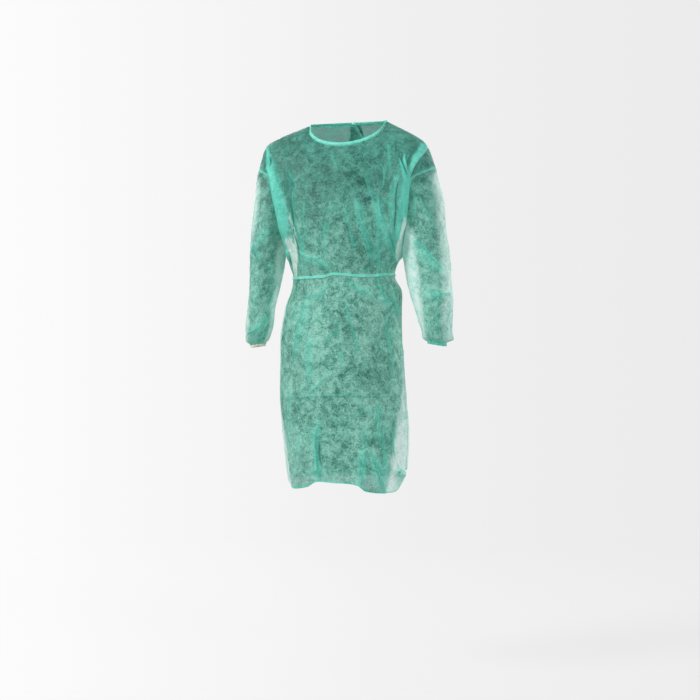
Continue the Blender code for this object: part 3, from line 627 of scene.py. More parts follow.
# Small random creases: how many, and how long, wide and high they are
SMALL_CREASES = {"front": 150, "back": 95, "sleeve": 60}
SMALL_CREASE_LENGTH = (0.020, 0.070)
SMALL_CREASE_WIDTH = (0.0020, 0.0034)
SMALL_CREASE_HEIGHT = (0.0005, 0.0019)
CRUMPLE_HEIGHT = 0.0012
CRUMPLE_SIZE = 0.055
SCATTER_Z = (-1.05, -0.05)
SLEEVE_SCATTER_Z = (-0.64, -0.15)
SCATTER_TILT = 0.25
SLEEVE_SCATTER_TILT = 0.9
CREASE_STEPS = 3
CREASE_SPREAD = 0.7
CREASE_BEND = 0.5
# Half the flat width that the small creases and the fibres are laid out on
FLAT_HALF_WIDTH = 0.27
CRUMPLE_SCALES = ((1, 1 / 1.9), (2.3, 1.2))
CRUMPLE_SECOND = 0.45

# The ties at the back
NECK_KNOT = (0.0150, 0.0100, 0.0120)
BELT_KNOT = (0.0240, 0.0120, 0.0150)
KNOT_FACE = 0.45
TAIL_CLEARANCE = 0.0045
NECK_TAIL_LENGTH = {LEFT: 0.173, RIGHT: 0.160}
NECK_TAIL_SPREAD = (0.030, 0.035)
NECK_TAIL_SLANT = 0.06
BELT_TAIL_LENGTH = {LEFT: 0.193, RIGHT: 0.210}
BELT_TAIL_SPREAD = (0.028, 0.050)
BELT_TAIL_SLANT = 0.10
TAIL_LEAD_IN = 0.12
BACK_LENGTH = 0.37
TAIL_ROWS = 70
BELT_KNOT_SHARE = 0.062
BELT_KNOT_STANDOFF = 0.0070
KNOT_TIP = 0.02
KNOT_ROWS = 44
KNOT_COLUMNS = 72

# How far in the creases fade at a side seam and at the upper edge, and how flat the belt holds them
CREASE_FADE_ACROSS = 0.04
CREASE_FADE_LEVEL = 0.12
BELT_LEVELS = (0.9, 2.1)
BELT_MIDDLE = 1.5
BELT_SPREAD = 0.9
BELT_PRESS = 0.75

# Creases: how wide the painted line looks, what counts as full, how the two sides fall away, and where the
# painted shade beside the steep side lies
CREASE_LINE = 0.0021
CREASE_FULL = 0.0024
FAINTEST_CREASE = 0.15
DEEPEST_LINE = 1.5
WEDGE_SHADE = 1.4
# How high a fold must be for its full painted highlight on a ridge or painted shade in a trough
RELIEF_FULL = 0.005
GENTLE_SIDE = 2.4
STEEP_SIDE = 0.75
SHADE_BESIDE_LINE = 0.0042
SHADE_BESIDE_SHARE = 0.5

# Where the cloth is double: where that starts, and how soft its edge is
SIDE_DOUBLE = (0.980, 0.010)
TOP_DOUBLE = (4.955, 0.02)
HEM_DOUBLE = (0.011, 0.004)
FREE_EDGE_DOUBLE = (0.022, 0.008)
ARMHOLE_DOUBLE = (0.008, 0.006)
SLEEVE_END_DOUBLE = (0.985, 0.01)
SLEEVE_SEAM_DOUBLE = (0.010, 0.006)

# Painted backlight: how pale it makes the cloth, how soft its edges are, and how much a lap and a pale patch
# take from each other
SIDE_PAINTED_BACKLIGHT = 0.92
SLEEVE_PAINTED_BACKLIGHT = 0.72
FREE_SOFT = 0.11
FREE_EDGE = 0.4
SLEEVE_FREE_SOFT = 0.07
SLEEVE_FREE_EDGE = 0.6
# How much of the painted shade the sleeves get
SLEEVE_PAINTED_SHADE = 0.5
TONE_TAKES = 0.8

# The seeds of all that is drawn at random
FRONT_SEED = 11
BACK_SEEDS = {LEFT: 23, RIGHT: 37}
SLEEVE_SEED = 51
BELT_TAIL_SEED = 60
NECK_TAIL_SEED = 70

# The cloth's colours from its thin dark places to its thick light ones, by tone
CLOTH_COLOURS = (
    (0.43, (0.030, 0.092, 0.074)),
    (0.478, (0.074, 0.234, 0.186)),
    (0.525, (0.148, 0.400, 0.322)),
    (0.585, (0.300, 0.600, 0.500)),
)
MINT_COLOURS = ((0.44, (0.098, 0.550, 0.440)), (0.58, (0.185, 0.740, 0.610)))
# Painted backlight: near-white colours for cloth that hangs free
PAINTED_BACKLIGHT_COLOURS = ((0.44, (0.370, 0.800, 0.730)), (0.54, (0.900, 0.970, 0.955)))
# Painted shade: the dark colours laid over the shoulders and yoke
SHADED_COLOURS = ((0.43, (0.008, 0.070, 0.054)), (0.57, (0.062, 0.300, 0.240)))
# Painted highlight along the creases
CREASE_HIGHLIGHT_COLOUR = (0.045, 0.500, 0.385, 1)
# Painted shade in fold troughs and beside creases
PAINTED_FOLD_SHADE_COLOUR = (0.016, 0.170, 0.134, 1)
CLEAR_COLOUR = (0.70, 0.95, 0.90, 1)
# How much of the light the cloth stops, by tone, less where it is free and more where it is double
CLOTH_COVER = ((0.40, 0.72), (0.60, 0.94))
FREE_COVER = 0.12
DOUBLE_COVER = 0.25
CLOTH_THROUGH = 0.32
CLOTH_NOISES = {
    # repeats in a metre, detail, roughness, distortion
    "areas": (9, 2, 0.5, 0.3),
    "clouds": (42, 4, 0.62, 0.5),
    "flecks": (170, 3, 0.62, 0.3),
    "grain": (520, 2, 0.6, 0.6),
}
# The painted shade also lowers the tone a little
TONE_SHARES = {"areas": 0.13, "clouds": 0.32, "fibres": 0.36, "flecks": 0.17, "grain": 0.04, "painted_shade": -0.022}
BUMP_SHARES = {"flecks": 0.4, "grain": 0.4, "fibres": 0.6}
COLOUR_LAYERS = (
    # what it follows, how strongly, and the colour laid over those before it
    # painted shade over the shoulders and yoke
    ("painted_shade", 0.82, "shaded"),
    # painted highlight on fold ridges and painted shade in their troughs
    ("relief", 0.40, "mint"),
    ("relief", -0.60, "painted_fold_shade"),
    ("bright", 0.85, "mint"),
    # painted backlight where the cloth hangs free
    ("free", 0.95, "pale"),
    ("layers", 0.60, "mint"),
    # painted highlight along raised creases, then painted shade along sunken ones and beside steep sides
    ("crease", 0.92, "line"),
    ("crease", -0.80, "painted_fold_shade"),
)
STRAND_TURNS = (0.35, 1.45, 2.55)
# Repeats in a metre along a fibre and across it
STRAND_SCALES = (60, 330)

PANEL_TABLES = {
    # folds, creases, laps, patches of painted backlight, how many small creases
    FRONT: (FRONT_FOLDS, FRONT_CREASES, FRONT_LAPS, FRONT_PAINTED_BACKLIGHT, SMALL_CREASES["front"]),
    BACK: (BACK_FOLDS, BACK_CREASES, BACK_LAPS, BACK_PAINTED_BACKLIGHT, SMALL_CREASES["back"]),
}


def between(table, key):
    """The columns of a table at keys between its rows, on smooth curves through them."""
    rows = np.array(table, float)
    keys, values = rows[:, 0], rows[:, 1:]
    key = np.clip(np.asarray(key, float), keys[0], keys[-1])
    after = np.minimum(np.arange(len(keys)) + 1, len(keys) - 1)
    before = np.maximum(np.arange(len(keys)) - 1, 0)
    slopes = (values[after] - values[before]) / (keys[after] - keys[before])[:, None]
    row = np.clip(np.searchsorted(keys, key, side="right") - 1, 0, len(keys) - 2)
    span = (keys[row + 1] - keys[row])[..., None]
    share = (key - keys[row])[..., None] / span
    curve = hermite(values[row], values[row + 1], slopes[row] * span, slopes[row + 1] * span, share)
    return np.moveaxis(curve, -1, 0)


def hermite(start, end, start_slope, end_slope, share):
    """A point on the cubic curve with these ends and slopes."""
    square = share * share
    cube = square * share
    return (
        start * (2 * cube - 3 * square + 1)
        + start_slope * (cube - 2 * square + share)
        + end * (3 * square - 2 * cube)
        + end_slope * (cube - square)
    )


def ease(value):
    """0 below 0, 1 above 1 and smooth between them."""
    value = np.clip(value, 0, 1)
    return value * value * (3 - 2 * value)


def unit(vectors):
    return vectors / np.maximum(np.linalg.norm(vectors, axis=-1, keepdims=True), 1e-12)


def points(x, y, z):
    return np.stack(np.broadcast_arrays(x, y, z), axis=-1).astype(float)


def degrees_round(across, side):
    return 90 - 90 * across if side == FRONT else 270 + 90 * across


def flute_height(degrees, z):
    """How far the skirt's long waves stand out there."""
    height = np.zeros(np.broadcast(degrees, z).shape)
    for middle, width, most, end_z in FLUTES:
        fade = ease((end_z - z) / (end_z + 1.05))
        height = height + most * fade * np.exp(-(((degrees - middle) / width) ** 2))
    return height


def ring_point(across, z, side):
    """Points of the body below the armholes."""
    centre_x, half_width, front_depth, back_depth = between(TORSO, z)
    depth = front_depth if side == FRONT else back_depth
    angle = across * math.pi / 2
    wave = flute_height(degrees_round(across, side), z)
    x = centre_x + (half_width + wave) * np.sin(angle)
    y = side * (depth + wave) * np.maximum(np.cos(angle), 0) ** ROUNDNESS
    return points(x, y, z)


def underarm_z(across):
    return UNDERARM_Z - UNDERARM_SLANT * across


def level_z(across, level, side):
    """The height of a level at or below the underarm."""
    degrees = degrees_round(across, side)
    belt = between(BELT, degrees)[0]
    stops = (between(HEM, degrees)[0], belt - BELT_WIDTH / 2, belt + BELT_WIDTH / 2, underarm_z(across))
    below = min(int(level), 2)
    return stops[below] + (stops[below + 1] - stops[below]) * (level - below)


def by_hand(across, left, right):
    return np.where(across >= 0, left, right)


def chest_arc(across, share, side):
    """The arc from armhole to armhole at this share of the way from underarm to corner."""
    left, right = between(ARMHOLE[LEFT], share), between(ARMHOLE[RIGHT], share)
    edge_x, edge_depth, edge_z = (by_hand(across, left[k], right[k]) for k in range(3))
    centre_x, middle_z, front_depth, back_depth = between(CHEST, share)
    depth = front_depth if side == FRONT else back_depth
    angle = np.abs(across) * math.pi / 2
    x = centre_x + (edge_x - centre_x) * np.sin(angle)
    y = side * (edge_depth + (depth - edge_depth) * np.maximum(np.cos(angle), 0) ** ROUNDNESS)
    return points(x, y, middle_z + (edge_z - middle_z) * across * across)


def chest_point(across, share, side):
    """Points between underarm and corner. They start on the body's own ring."""
    start = ring_point(across, underarm_z(across), side) - chest_arc(across, 0, side)
    return chest_arc(across, share, side) + start * (1 - share) ** 2


def top_point(across, side):
    """Points of the panel's upper edge: the neck seam, then the shoulder seam."""
    reach = np.abs(across)
    neck_x = by_hand(across, SHOULDER[LEFT][0][1], SHOULDER[RIGHT][0][1])
    neck_z = by_hand(across, SHOULDER[LEFT][0][2], SHOULDER[RIGHT][0][2])
    angle = np.minimum(reach / NECK_SHARE, 1) * math.pi / 2
    depth, low_z = NECK_MIDDLE[side]
    neck = points(
        neck_x * np.sin(angle),
        side * depth * np.cos(angle),
        neck_z + (low_z - neck_z) * np.cos(angle),
    )
    out = np.maximum(reach - NECK_SHARE, 0) / (1 - NECK_SHARE)
    left, right = between(SHOULDER[LEFT], out), between(SHOULDER[RIGHT], out)
    seam = points(by_hand(across, left[0], right[0]), 0, by_hand(across, left[1], right[1]))
    return np.where((reach <= NECK_SHARE)[..., None], neck, seam)


def neck_direction(across, side):
    """The way the cloth runs square across the neck seam: up, and in towards the neck."""
    angle = across / NECK_SHARE * math.pi / 2
    inward_x = -NECK_SIDE_LEAN * np.sin(angle)
    return unit(points(inward_x, -side * NECK_LEAN[side] * np.cos(angle), 1))


def crown_point(across, share, side):
    """Points between the armhole's corner and the panel's upper edge."""
    step = 0.05
    start = chest_point(across, 1, side)
    end = top_point(across, side)
    length = np.linalg.norm(end - start, axis=-1, keepdims=True)
    rise = unit(start - chest_point(across, 1 - step, side))
    on_shoulder = ease(np.abs(across) / NECK_SHARE)[..., None]
    at_neck = neck_direction(np.zeros_like(across), side)
    arrive = at_neck + (points(0, -side, np.zeros_like(across)) - at_neck) * on_shoulder
    leave = (CROWN_LEAVE - CROWN_LEAVE_LESS_AT_SIDE * np.abs(across) ** 6)[..., None]
    return hermite(start, end, rise * length * leave, arrive * length * CROWN_ARRIVE, share)


def body_point(across, level, side):
    """A row of the body's points, all at one level."""
    across = np.atleast_1d(np.asarray(across, float))
    if level <= 3:
        return ring_point(across, level_z(across, level, side), side)
    if level <= 4:
        return chest_point(across, level - 3, side)
    return crown_point(across, level - 4, side)


def body_levels():
    return np.concatenate([
        np.linspace(0, 1, SKIRT_ROWS, endpoint=False),
        np.linspace(1, 2, BELT_ROWS, endpoint=False),
        np.linspace(2, 3, WAIST_ROWS, endpoint=False),
        np.linspace(3, 4, YOKE_ROWS, endpoint=False),
        np.linspace(4, 5, YOKE_ROWS + 1),
    ])


def front_across():
    rows = [np.linspace(-1, 1, FRONT_COLUMNS + 1)] * len(body_levels())
    return np.array(rows)


def back_across(hand):
    """From the side seam to the free edge, which lies past the middle of the back."""
    rows = [hand * np.linspace(1, -between(LAP, level)[0], BACK_COLUMNS + 1) for level in body_levels()]
    return np.array(rows)


def lap_lift(across, level):
    """How far the left back panel stands off where it covers the right one."""
    lap = between(LAP, level)[0]
    flat, ramp = LAP_RAMP
    return LAP_LIFT * ease((lap + flat + ramp - across) / ramp)


def grid_normals(grid, outward, closed=False):
    """A unit normal for each point of a grid, turned outward by its sign."""
    if closed:
        along = np.roll(grid, -1, axis=1) - np.roll(grid, 1, axis=1)
    else:
        along = np.gradient(grid, axis=1)
    up = np.gradient(grid, axis=0)
    return unit(np.cross(along, up)) * outward


def path_distance(u, v, path):
    """For each point, how far it is from the path and how far along the path's nearest place is."""
    nearest = np.full(u.shape, 1e9)
    at_length = np.zeros(u.shape)
    run = 0.0
    for a, b in zip(path, path[1:]):
        line = (b[0] - a[0], b[1] - a[1])
        length = math.hypot(*line)
        share = np.clip(((u - a[0]) * line[0] + (v - a[1]) * line[1]) / length**2, 0, 1)
        distance = np.hypot(u - a[0] - line[0] * share, v - a[1] - line[1] * share)
        closer = distance < nearest
        nearest = np.where(closer, distance, nearest)
        at_length = np.where(closer, run + share * length, at_length)
        run += length
    return nearest, at_length, run


def smooth_path(path, steps=6):
    """The same path with rounded corners."""
    if len(path) < 3:
        return path
    table = [(k, *p) for k, p in enumerate(path)]
    u, v = between(table, np.linspace(0, len(path) - 1, (len(path) - 1) * steps + 1))
    return list(zip(u, v))


def fold_height(u, v, folds):
    """The height of all soft folds at each point."""
    height = np.zeros(u.shape)
    for width, most, path in folds:
        near = near_path(u, v, path, 4 * width)
        if near.any():
            nearest, at_length, total = path_distance(u[near], v[near], path)
            end = ease(np.minimum(at_length, total - at_length) / FOLD_END)
            strength = FOLD_END_SHARE + (1 - FOLD_END_SHARE) * end
            height[near] += most * strength * np.exp(-((nearest / width) ** 2))
    return height


def path_side(u, v, path):
    """Above 0 on the left of the line from the path's start to its end."""
    start, end = path[0], path[-1]
    middle = path[len(path) // 2]
    ahead = (end[0] - start[0], end[1] - start[1])
    return ahead[0] * (v - middle[1]) - ahead[1] * (u - middle[0])


def near_path(u, v, path, reach):
    low, high = np.min(path, axis=0) - reach, np.max(path, axis=0) + reach
    return (u > low[0]) & (u < high[0]) & (v > low[1]) & (v < high[1])


def crease_height(u, v, creases):
    """The height of all sharp creases at each point, and how strongly each point is on one, for painted
    light: a highlight along raised creases and painted shade along sunken ones and beside each steep side.
    """
    height = np.zeros(u.shape)
    line = np.zeros(u.shape)
    for width, most, path in creases:
        path = smooth_path(path)
        near = near_path(u, v, path, 7 * width)
        if near.any():
            nearest, at_length, total = path_distance(u[near], v[near], path)
            end = ease(np.minimum(at_length, total - at_length) / min(FOLD_END, total / 2))
            gentle = path_side(u[near], v[near], path) > 0
            reach = width * np.where(gentle, GENTLE_SIDE, STEEP_SIDE)
            soft = np.sqrt(nearest**2 + (width / 4) ** 2) - width / 4
            height[near] += most * end * np.exp(-soft / reach)
            shown = np.clip(abs(most) / CREASE_FULL, FAINTEST_CREASE, 1) * np.sign(most)
            line[near] += shown * end * np.exp(-((nearest / CREASE_LINE) ** 2))
            # Painted shade along the steep side of the crease
            shade_beside = np.exp(-(((nearest - SHADE_BESIDE_LINE) / CREASE_LINE) ** 2)) * ~gentle
            line[near] -= SHADE_BESIDE_SHARE * shown * end * shade_beside
    return height, line


def between_ends(z, rows):
    """1 from a shape's first row to its last, fading out past them."""
    low, high = rows[0][0], rows[-1][0]
    return ease((z - low + LAP_END) / LAP_END) * ease((high + LAP_END - z) / LAP_END)


def inside_rows(x, z, rows):
    """1 between a shape's outer and inner edges and 0 outside them, softly."""
    outer, inner = between(rows, z)
    left, right = np.minimum(outer, inner), np.maximum(outer, inner)
    return between_ends(z, rows) * ease((x - left) / PAINTED_BACKLIGHT_SOFT + 0.5) * ease((right - x) / PAINTED_BACKLIGHT_SOFT + 0.5)


def lap_height(x, z, laps):
    """The height of all laps at each point, and how much they brighten it."""
    height = np.zeros(x.shape)
    bright = np.zeros(x.shape)
    for most, tone, rows in laps:
        outer, inner = between(rows, z)
        end = between_ends(z, rows)
        way = np.sign(outer - inner)
        into = (x - inner) * way
        past = (x - outer) * way
        width = np.maximum(np.abs(outer - inner), LAP_NARROWEST)
        height += most * end * ease(into / width) * (1 - ease(past / LAP_DROP + 0.3))
        inside = ease(into / (0.5 * width) + 0.2) * (1 - ease(past / LAP_EDGE + 0.5))
        bright = np.maximum(bright, tone * end * inside)
    return height, np.clip(bright, 0, 1)


def fold_fade(across, level):
    """How much of the folds' height is left near a side seam, an armhole or the upper edge."""
    return ease((1 - np.abs(across)) / FOLD_FADE_ACROSS) * ease((5 - level) / FOLD_FADE_LEVEL)


def random_creases(seed, count, u_range, v_range, tilt):
    """Short creases scattered over a panel, most of them near the given tilt from upright."""
    draw = random.Random(seed)
    creases = []
    for _ in range(count):
        u, v = draw.uniform(*u_range), draw.uniform(*v_range)
        angle = math.pi / 2 + tilt * (1 if u > 0 else -1) + draw.gauss(0, CREASE_SPREAD)
        length = draw.uniform(*SMALL_CREASE_LENGTH)
        bend = draw.uniform(-CREASE_BEND, CREASE_BEND)
        path = [(u, v)]
        for _ in range(CREASE_STEPS):
            u += math.cos(angle) * length / CREASE_STEPS
            v += math.sin(angle) * length / CREASE_STEPS
            angle += bend / CREASE_STEPS
            path.append((u, v))
        most = draw.uniform(*SMALL_CREASE_HEIGHT) * draw.choice((-1, 1, 1))
        creases.append((draw.uniform(*SMALL_CREASE_WIDTH), most, path))
    return creases


def crumple(u, v, seed):
    """Low uneven waves, drawn out along the cloth's length."""
    (first_u, first_v), (second_u, second_v) = CRUMPLE_SCALES
    flat = np.stack([u.ravel(), v.ravel()], axis=1) / CRUMPLE_SIZE
    out = np.empty(len(flat))
    for k, (a, b) in enumerate(flat):
        first = noise.noise(Vector((a * first_u, b * first_v, seed)))
        second = noise.noise(Vector((a * second_u, b * second_v, seed + 7.0)))
        out[k] = first + CRUMPLE_SECOND * (abs(second) * 2 - 0.5)
    return out.reshape(u.shape) * CRUMPLE_HEIGHT


def mesh_object(name, vertices, faces, material, tones=None, uv=None, solid=False):
    """An object from arrays, shaded smooth, with one number a vertex for each tone."""
    mesh = bpy.data.meshes.new(name)
    mesh.from_pydata(np.asarray(vertices).tolist(), [], [list(face) for face in faces])
    mesh.update()
    mesh.shade_smooth()
    for key, values in (tones or {}).items():
        layer = mesh.attributes.new(key, "FLOAT", "POINT")
        layer.data.foreach_set("value", np.asarray(values, np.float32).ravel())
    if uv is not None:
        layer = mesh.uv_layers.new(name="cloth")
        corners = np.empty(len(mesh.loops), np.int32)
        mesh.loops.foreach_get("vertex_index", corners)
        layer.data.foreach_set("uv", np.asarray(uv, np.float32).reshape(-1, 2)[corners].ravel())
    if solid:
        turn_outward(mesh)
    mesh.materials.append(material)
    return linked(name, mesh)


def linked(name, data):
    obj = bpy.data.objects.new(name, data)
    bpy.context.scene.collection.objects.link(obj)
    return obj


def turn_outward(mesh):
    """Turns every face to the outside of a closed mesh."""
    work = bmesh.new()
    work.from_mesh(mesh)
    bmesh.ops.recalc_face_normals(work, faces=work.faces)
    work.to_mesh(mesh)
    work.free()


def grid_faces(rows, columns, closed=False, flip=False):
    """The quads of a grid of points, joined round where it is closed."""
    last = columns if closed else columns - 1
    i, j = np.meshgrid(np.arange(rows - 1), np.arange(last), indexing="ij")
    after = (j + 1) % columns
    low, high = i * columns, (i + 1) * columns
    quads = np.stack([low + j, low + after, high + after, high + j], -1).reshape(-1, 4)
    return quads[:, ::-1] if flip else quads


def tube_faces(rows, columns):
    """The faces of a tube with closed ends."""
    faces = grid_faces(rows, columns, closed=True).tolist()
    faces.append(list(range(columns))[::-1])
    faces.append(list(range((rows - 1) * columns, rows * columns)))
    return faces


def cloth_sheet(name, grid, height, outward, material, uv, tones, closed=False):
    """A thin sheet of cloth on a grid, raised by its folds and creases."""
    normals = grid_normals(grid, outward, closed)
    raised = grid + normals * height[..., None]
    rows, columns = height.shape
    faces = grid_faces(rows, columns, closed, flip=outward < 0)
    return mesh_object(name, raised.reshape(-1, 3), faces, material, tones, uv)


def clear_default_scene():
    for name in ("Cube", "Light", "Camera"):
        obj = bpy.data.objects.get(name)
        if obj is not None:
            bpy.data.objects.remove(obj, do_unlink=True)


def free_sides_backlight(across, z, bright):
    """How pale the painted backlight makes the cloth where it hangs free at the body's sides."""
    left, right = between(FREE_SIDES_BACKLIGHT[LEFT], z), between(FREE_SIDES_BACKLIGHT[RIGHT], z)
    on_left = np.sign(across) > 0
    start, most = np.where(on_left, left[0], right[0]), np.where(on_left, left[1], right[1])
    free = SIDE_PAINTED_BACKLIGHT * most * ease((np.abs(across) - start) / FREE_SOFT + FREE_EDGE)
    return free * (1 - TONE_TAKES * bright)


def body_sheet_parts(across, side, seed):
    """A body panel's points, levels, height of folds, flat coordinates and tones."""
    levels = body_levels()
    grid = np.array([body_point(row, level, side) for row, level in zip(across, levels)])
    level = np.repeat(levels[:, None], across.shape[1], axis=1)
    x, z = grid[..., 0], grid[..., 2]
    folds, creases, laps, backlight_patches, count = PANEL_TABLES[side]
    height = fold_fade(across, level) * fold_height(x, z, folds)
    edge = ease((1 - np.abs(across)) / CREASE_FADE_ACROSS) * ease((5 - level) / CREASE_FADE_LEVEL)
    named, line = crease_height(x, z, creases)
    flat_x = across * FLAT_HALF_WIDTH
    steps = np.linalg.norm(np.diff(grid, axis=0), axis=2)
    flat_z = z[:1] + np.concatenate([np.zeros((1, z.shape[1])), np.cumsum(steps, axis=0)])
    flat_range = (-FLAT_HALF_WIDTH, FLAT_HALF_WIDTH)
    scattered = random_creases(seed, count, flat_range, SCATTER_Z, SCATTER_TILT)
    small, small_line = crease_height(flat_x, flat_z, scattered)
    lapped, bright = lap_height(x, z, laps)
    height = height + edge * (named + small + lapped + crumple(flat_x, flat_z, seed))
    line = line + small_line
    if side == FRONT:
        # The troughs beside the laps, with painted shade
        dip, dark = crease_height(x, z, [(width, -depth, path) for width, depth, path in TROUGHS_WITH_PAINTED_SHADE])
        height, line = height + edge * dip, line + WEDGE_SHADE * dark
    at_belt = np.exp(-(((level - BELT_MIDDLE) / BELT_SPREAD) ** 2))
    at_belt = at_belt * (level > BELT_LEVELS[0]) * (level < BELT_LEVELS[1])
    height = height * (1 - BELT_PRESS * at_belt)
    # Painted backlight where the cloth hangs free at the sides and in the listed patches
    free = free_sides_backlight(across, z, bright)
    for strength, rows in backlight_patches:
        pale = strength * inside_rows(x, z, rows)
        free, bright = np.maximum(free, pale), bright * (1 - TONE_TAKES * pale)
    tones = {
        "crease": np.clip(line, -DEEPEST_LINE, DEEPEST_LINE),
        "bright": bright,
        "free": free,
        # Painted light by the folds' height: lighter on ridges, darker in troughs
        "relief": np.clip(edge * height / RELIEF_FULL, -1, 1),
        # Painted shade, darker higher up and left off where the cloth has painted backlight
        "painted_shade": between(PAINTED_SHADE_BY_HEIGHT, z)[0] * (1 - np.clip(free, 0, 1)),
    }
    return grid, level, height, np.stack([flat_x, flat_z], axis=-1), tones


def above(value, start, soft):
    return ease((value - start) / soft)


def below(value, start, soft):
    return ease((start - value) / soft)


def seam_layers(across, level, free_edge=None):
    """1 where the seam allowance or a turned edge doubles the cloth, else 0."""
    layers = np.maximum(above(np.abs(across), *SIDE_DOUBLE), above(level, *TOP_DOUBLE))
    layers = np.maximum(layers, below(level, *HEM_DOUBLE))
    if free_edge is not None:
        layers = np.maximum(layers, below(free_edge, *FREE_EDGE_DOUBLE))
    return layers


def make_front(material):
    across = front_across()
    grid, level, height, uv, tones = body_sheet_parts(across, FRONT, FRONT_SEED)
    tones["layers"] = seam_layers(across, level)
    sheet = cloth_sheet("gown_front", grid, height, 1, material, uv, tones)
    declare(sheet, ("front_panel_upper", "front_panel_skirt"))
    return grid + grid_normals(grid, 1) * height[..., None]


def make_back(hand, material):
    across = back_across(hand)
    grid, level, height, uv, tones = body_sheet_parts(across, BACK, BACK_SEEDS[hand])
    if hand == LEFT:
        height = height + np.array([lap_lift(row, value) for row, value in zip(across, body_levels())])
    tones["layers"] = seam_layers(across, level, np.abs(across - across[:, -1:]))
    name = f"back_panel_{WORDS[hand]}"
    sheet = cloth_sheet(f"gown_back_{WORDS[hand]}", grid, height, hand, material, uv, tones)
    declare(sheet, (f"{name}_upper", f"{name}_skirt"))
    return grid + grid_normals(grid, hand) * height[..., None]


def armhole_point(turn, hand):
    """Points of the armhole: turn 0 is at the shoulder seam, 0.25 in front and 0.5 underneath."""
    found = []
    for value in np.atleast_1d(turn):
        side = FRONT if value <= 0.5 else BACK
        level = 5 - 4 * min(value, 1 - value)
        found.append(body_point(hand, level, side)[0])
    return np.array(found)


def sleeve_ring(turn, z, hand):
    centre_x, centre_y, half_width, half_depth = between(SLEEVE[hand], z)
    angle = 2 * math.pi * turn
    return points(centre_x + hand * half_width * np.cos(angle), centre_y - half_depth * np.sin(angle), z)


def sleeve_grid(turn, run, hand):
    """Points of the sleeve, where run is 0 at the armhole and 1 at the cuff seam."""
    start = armhole_point(turn, hand)[None]
    turn, run = np.meshgrid(turn, run)
    end_z = SLEEVE[hand][0][0]
    z = start[..., 2] + (end_z - start[..., 2]) * run
    set_in = np.maximum(1 - run / SET_IN_RUN, 0) ** 2
    offset = start - sleeve_ring(turn[:1], start[..., 2], hand)
    point = sleeve_ring(turn, z, hand) + offset * set_in[..., None]
    angle = 2 * math.pi * turn
    gather = ease((run - GATHER_RUN) / (1 - GATHER_RUN))
    small = ease((run - SMALL_GATHER_RUN) / (1 - SMALL_GATHER_RUN))
    wave = gather * GATHER_HEIGHT * np.cos(GATHERS * angle)
    wave = wave + small * SMALL_GATHER_HEIGHT * small_gathers(angle)
    point = point + points(hand * np.cos(angle), -np.sin(angle), 0 * angle) * wave[..., None]
    tilt = ease((run - TILT_RUN) / (1 - TILT_RUN))
    point[..., 2] -= CUFF_TILT[hand] * np.cos(angle) * tilt
    return point


def small_gathers(angle, shift=0.0):
    """Uneven waves round the sleeve's end, from -1 to 1."""
    return np.cos(SMALL_GATHERS * angle + 2 * np.sin(3 * angle) + shift)


def round_sleeve(rows):
    """The same folds with turns as metres round the sleeve."""
    return [(width, most, [(turn * SLEEVE_GIRTH, z) for turn, z in path]) for width, most, path in rows]


def make_sleeve(hand, material):
    turn = np.arange(SLEEVE_COLUMNS) / SLEEVE_COLUMNS
    run = np.linspace(0, 1, SLEEVE_ROWS + 1)
    run = run + ROW_SHIFT * run * (1 - run) * (run - ROW_SHIFT_FROM)
    grid = sleeve_grid(turn, run, hand)
    turns, runs = np.meshgrid(turn, run)
    z = grid[..., 2]
    u = turns * SLEEVE_GIRTH
    height = ease(runs / SLEEVE_FOLD_RUN) * fold_height(u, z, round_sleeve(SLEEVE_FOLDS[hand]))
    near_seam = ease(runs / SLEEVE_CREASE_RUN) * ease((1 - runs) / SLEEVE_CREASE_RUN)
    named, line = crease_height(u, z, round_sleeve(SLEEVE_CREASES[hand]))
    girth = (0, SLEEVE_GIRTH)
    seed = SLEEVE_SEED + hand
    scattered = random_creases(seed, SMALL_CREASES["sleeve"], girth, SLEEVE_SCATTER_Z, SLEEVE_SCATTER_TILT)
    small, small_line = crease_height(u, z, scattered)
    around = np.abs(turns - 0.5) * SLEEVE_GIRTH
    waves = crumple(around, z + 0.3 * np.sign(turns - 0.5), 5.0 + hand)
    height = height + near_seam * (named + small + waves)
    layers = np.maximum(below(runs, *ARMHOLE_DOUBLE), above(runs, *SLEEVE_END_DOUBLE))
    layers = np.maximum(layers, below(np.abs(turns - 0.5), *SLEEVE_SEAM_DOUBLE))
    # Painted backlight on the sleeve's outer and inner parts, where it hangs free
    outer_end, inner_start, outer_most, inner_most = between(FREE_SLEEVE_BACKLIGHT[hand], z)
    outer_turn = np.minimum(turns, 1 - turns)
    outer = outer_most * ease((outer_end - outer_turn) / SLEEVE_FREE_SOFT + SLEEVE_FREE_EDGE)
    inner = inner_most * ease((outer_turn - inner_start) / SLEEVE_FREE_SOFT + SLEEVE_FREE_EDGE)
    tones = {
        "crease": np.clip(line + small_line, -DEEPEST_LINE, DEEPEST_LINE),
        "bright": np.zeros(line.shape),
        "free": np.maximum(SLEEVE_PAINTED_BACKLIGHT * outer, inner),
        # Painted light by the folds' height: lighter on ridges, darker in troughs
        "relief": np.clip(near_seam * height / RELIEF_FULL, -1, 1),
        # Painted shade, weaker on the sleeves
        "painted_shade": SLEEVE_PAINTED_SHADE * between(PAINTED_SHADE_BY_HEIGHT, z)[0],
        "layers": layers,
    }
    name = f"sleeve_{WORDS[hand]}"
    uv = np.stack([u, z], axis=-1)
    sheet = cloth_sheet(f"gown_{name}", grid, height, hand, material, uv, tones, closed=True)
    declare(sheet, (name,))


def declare(sheet, nodes):
    """Puts the sheet on the gown's one body and hides the solids it stands for."""
    place(sheet, "cloth", *nodes)


def place(obj, slot, *nodes):
    """Puts a piece on the gown's one body and hides the solids it stands for."""
    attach(obj, "root")
    if nodes:
        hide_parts(*nodes)


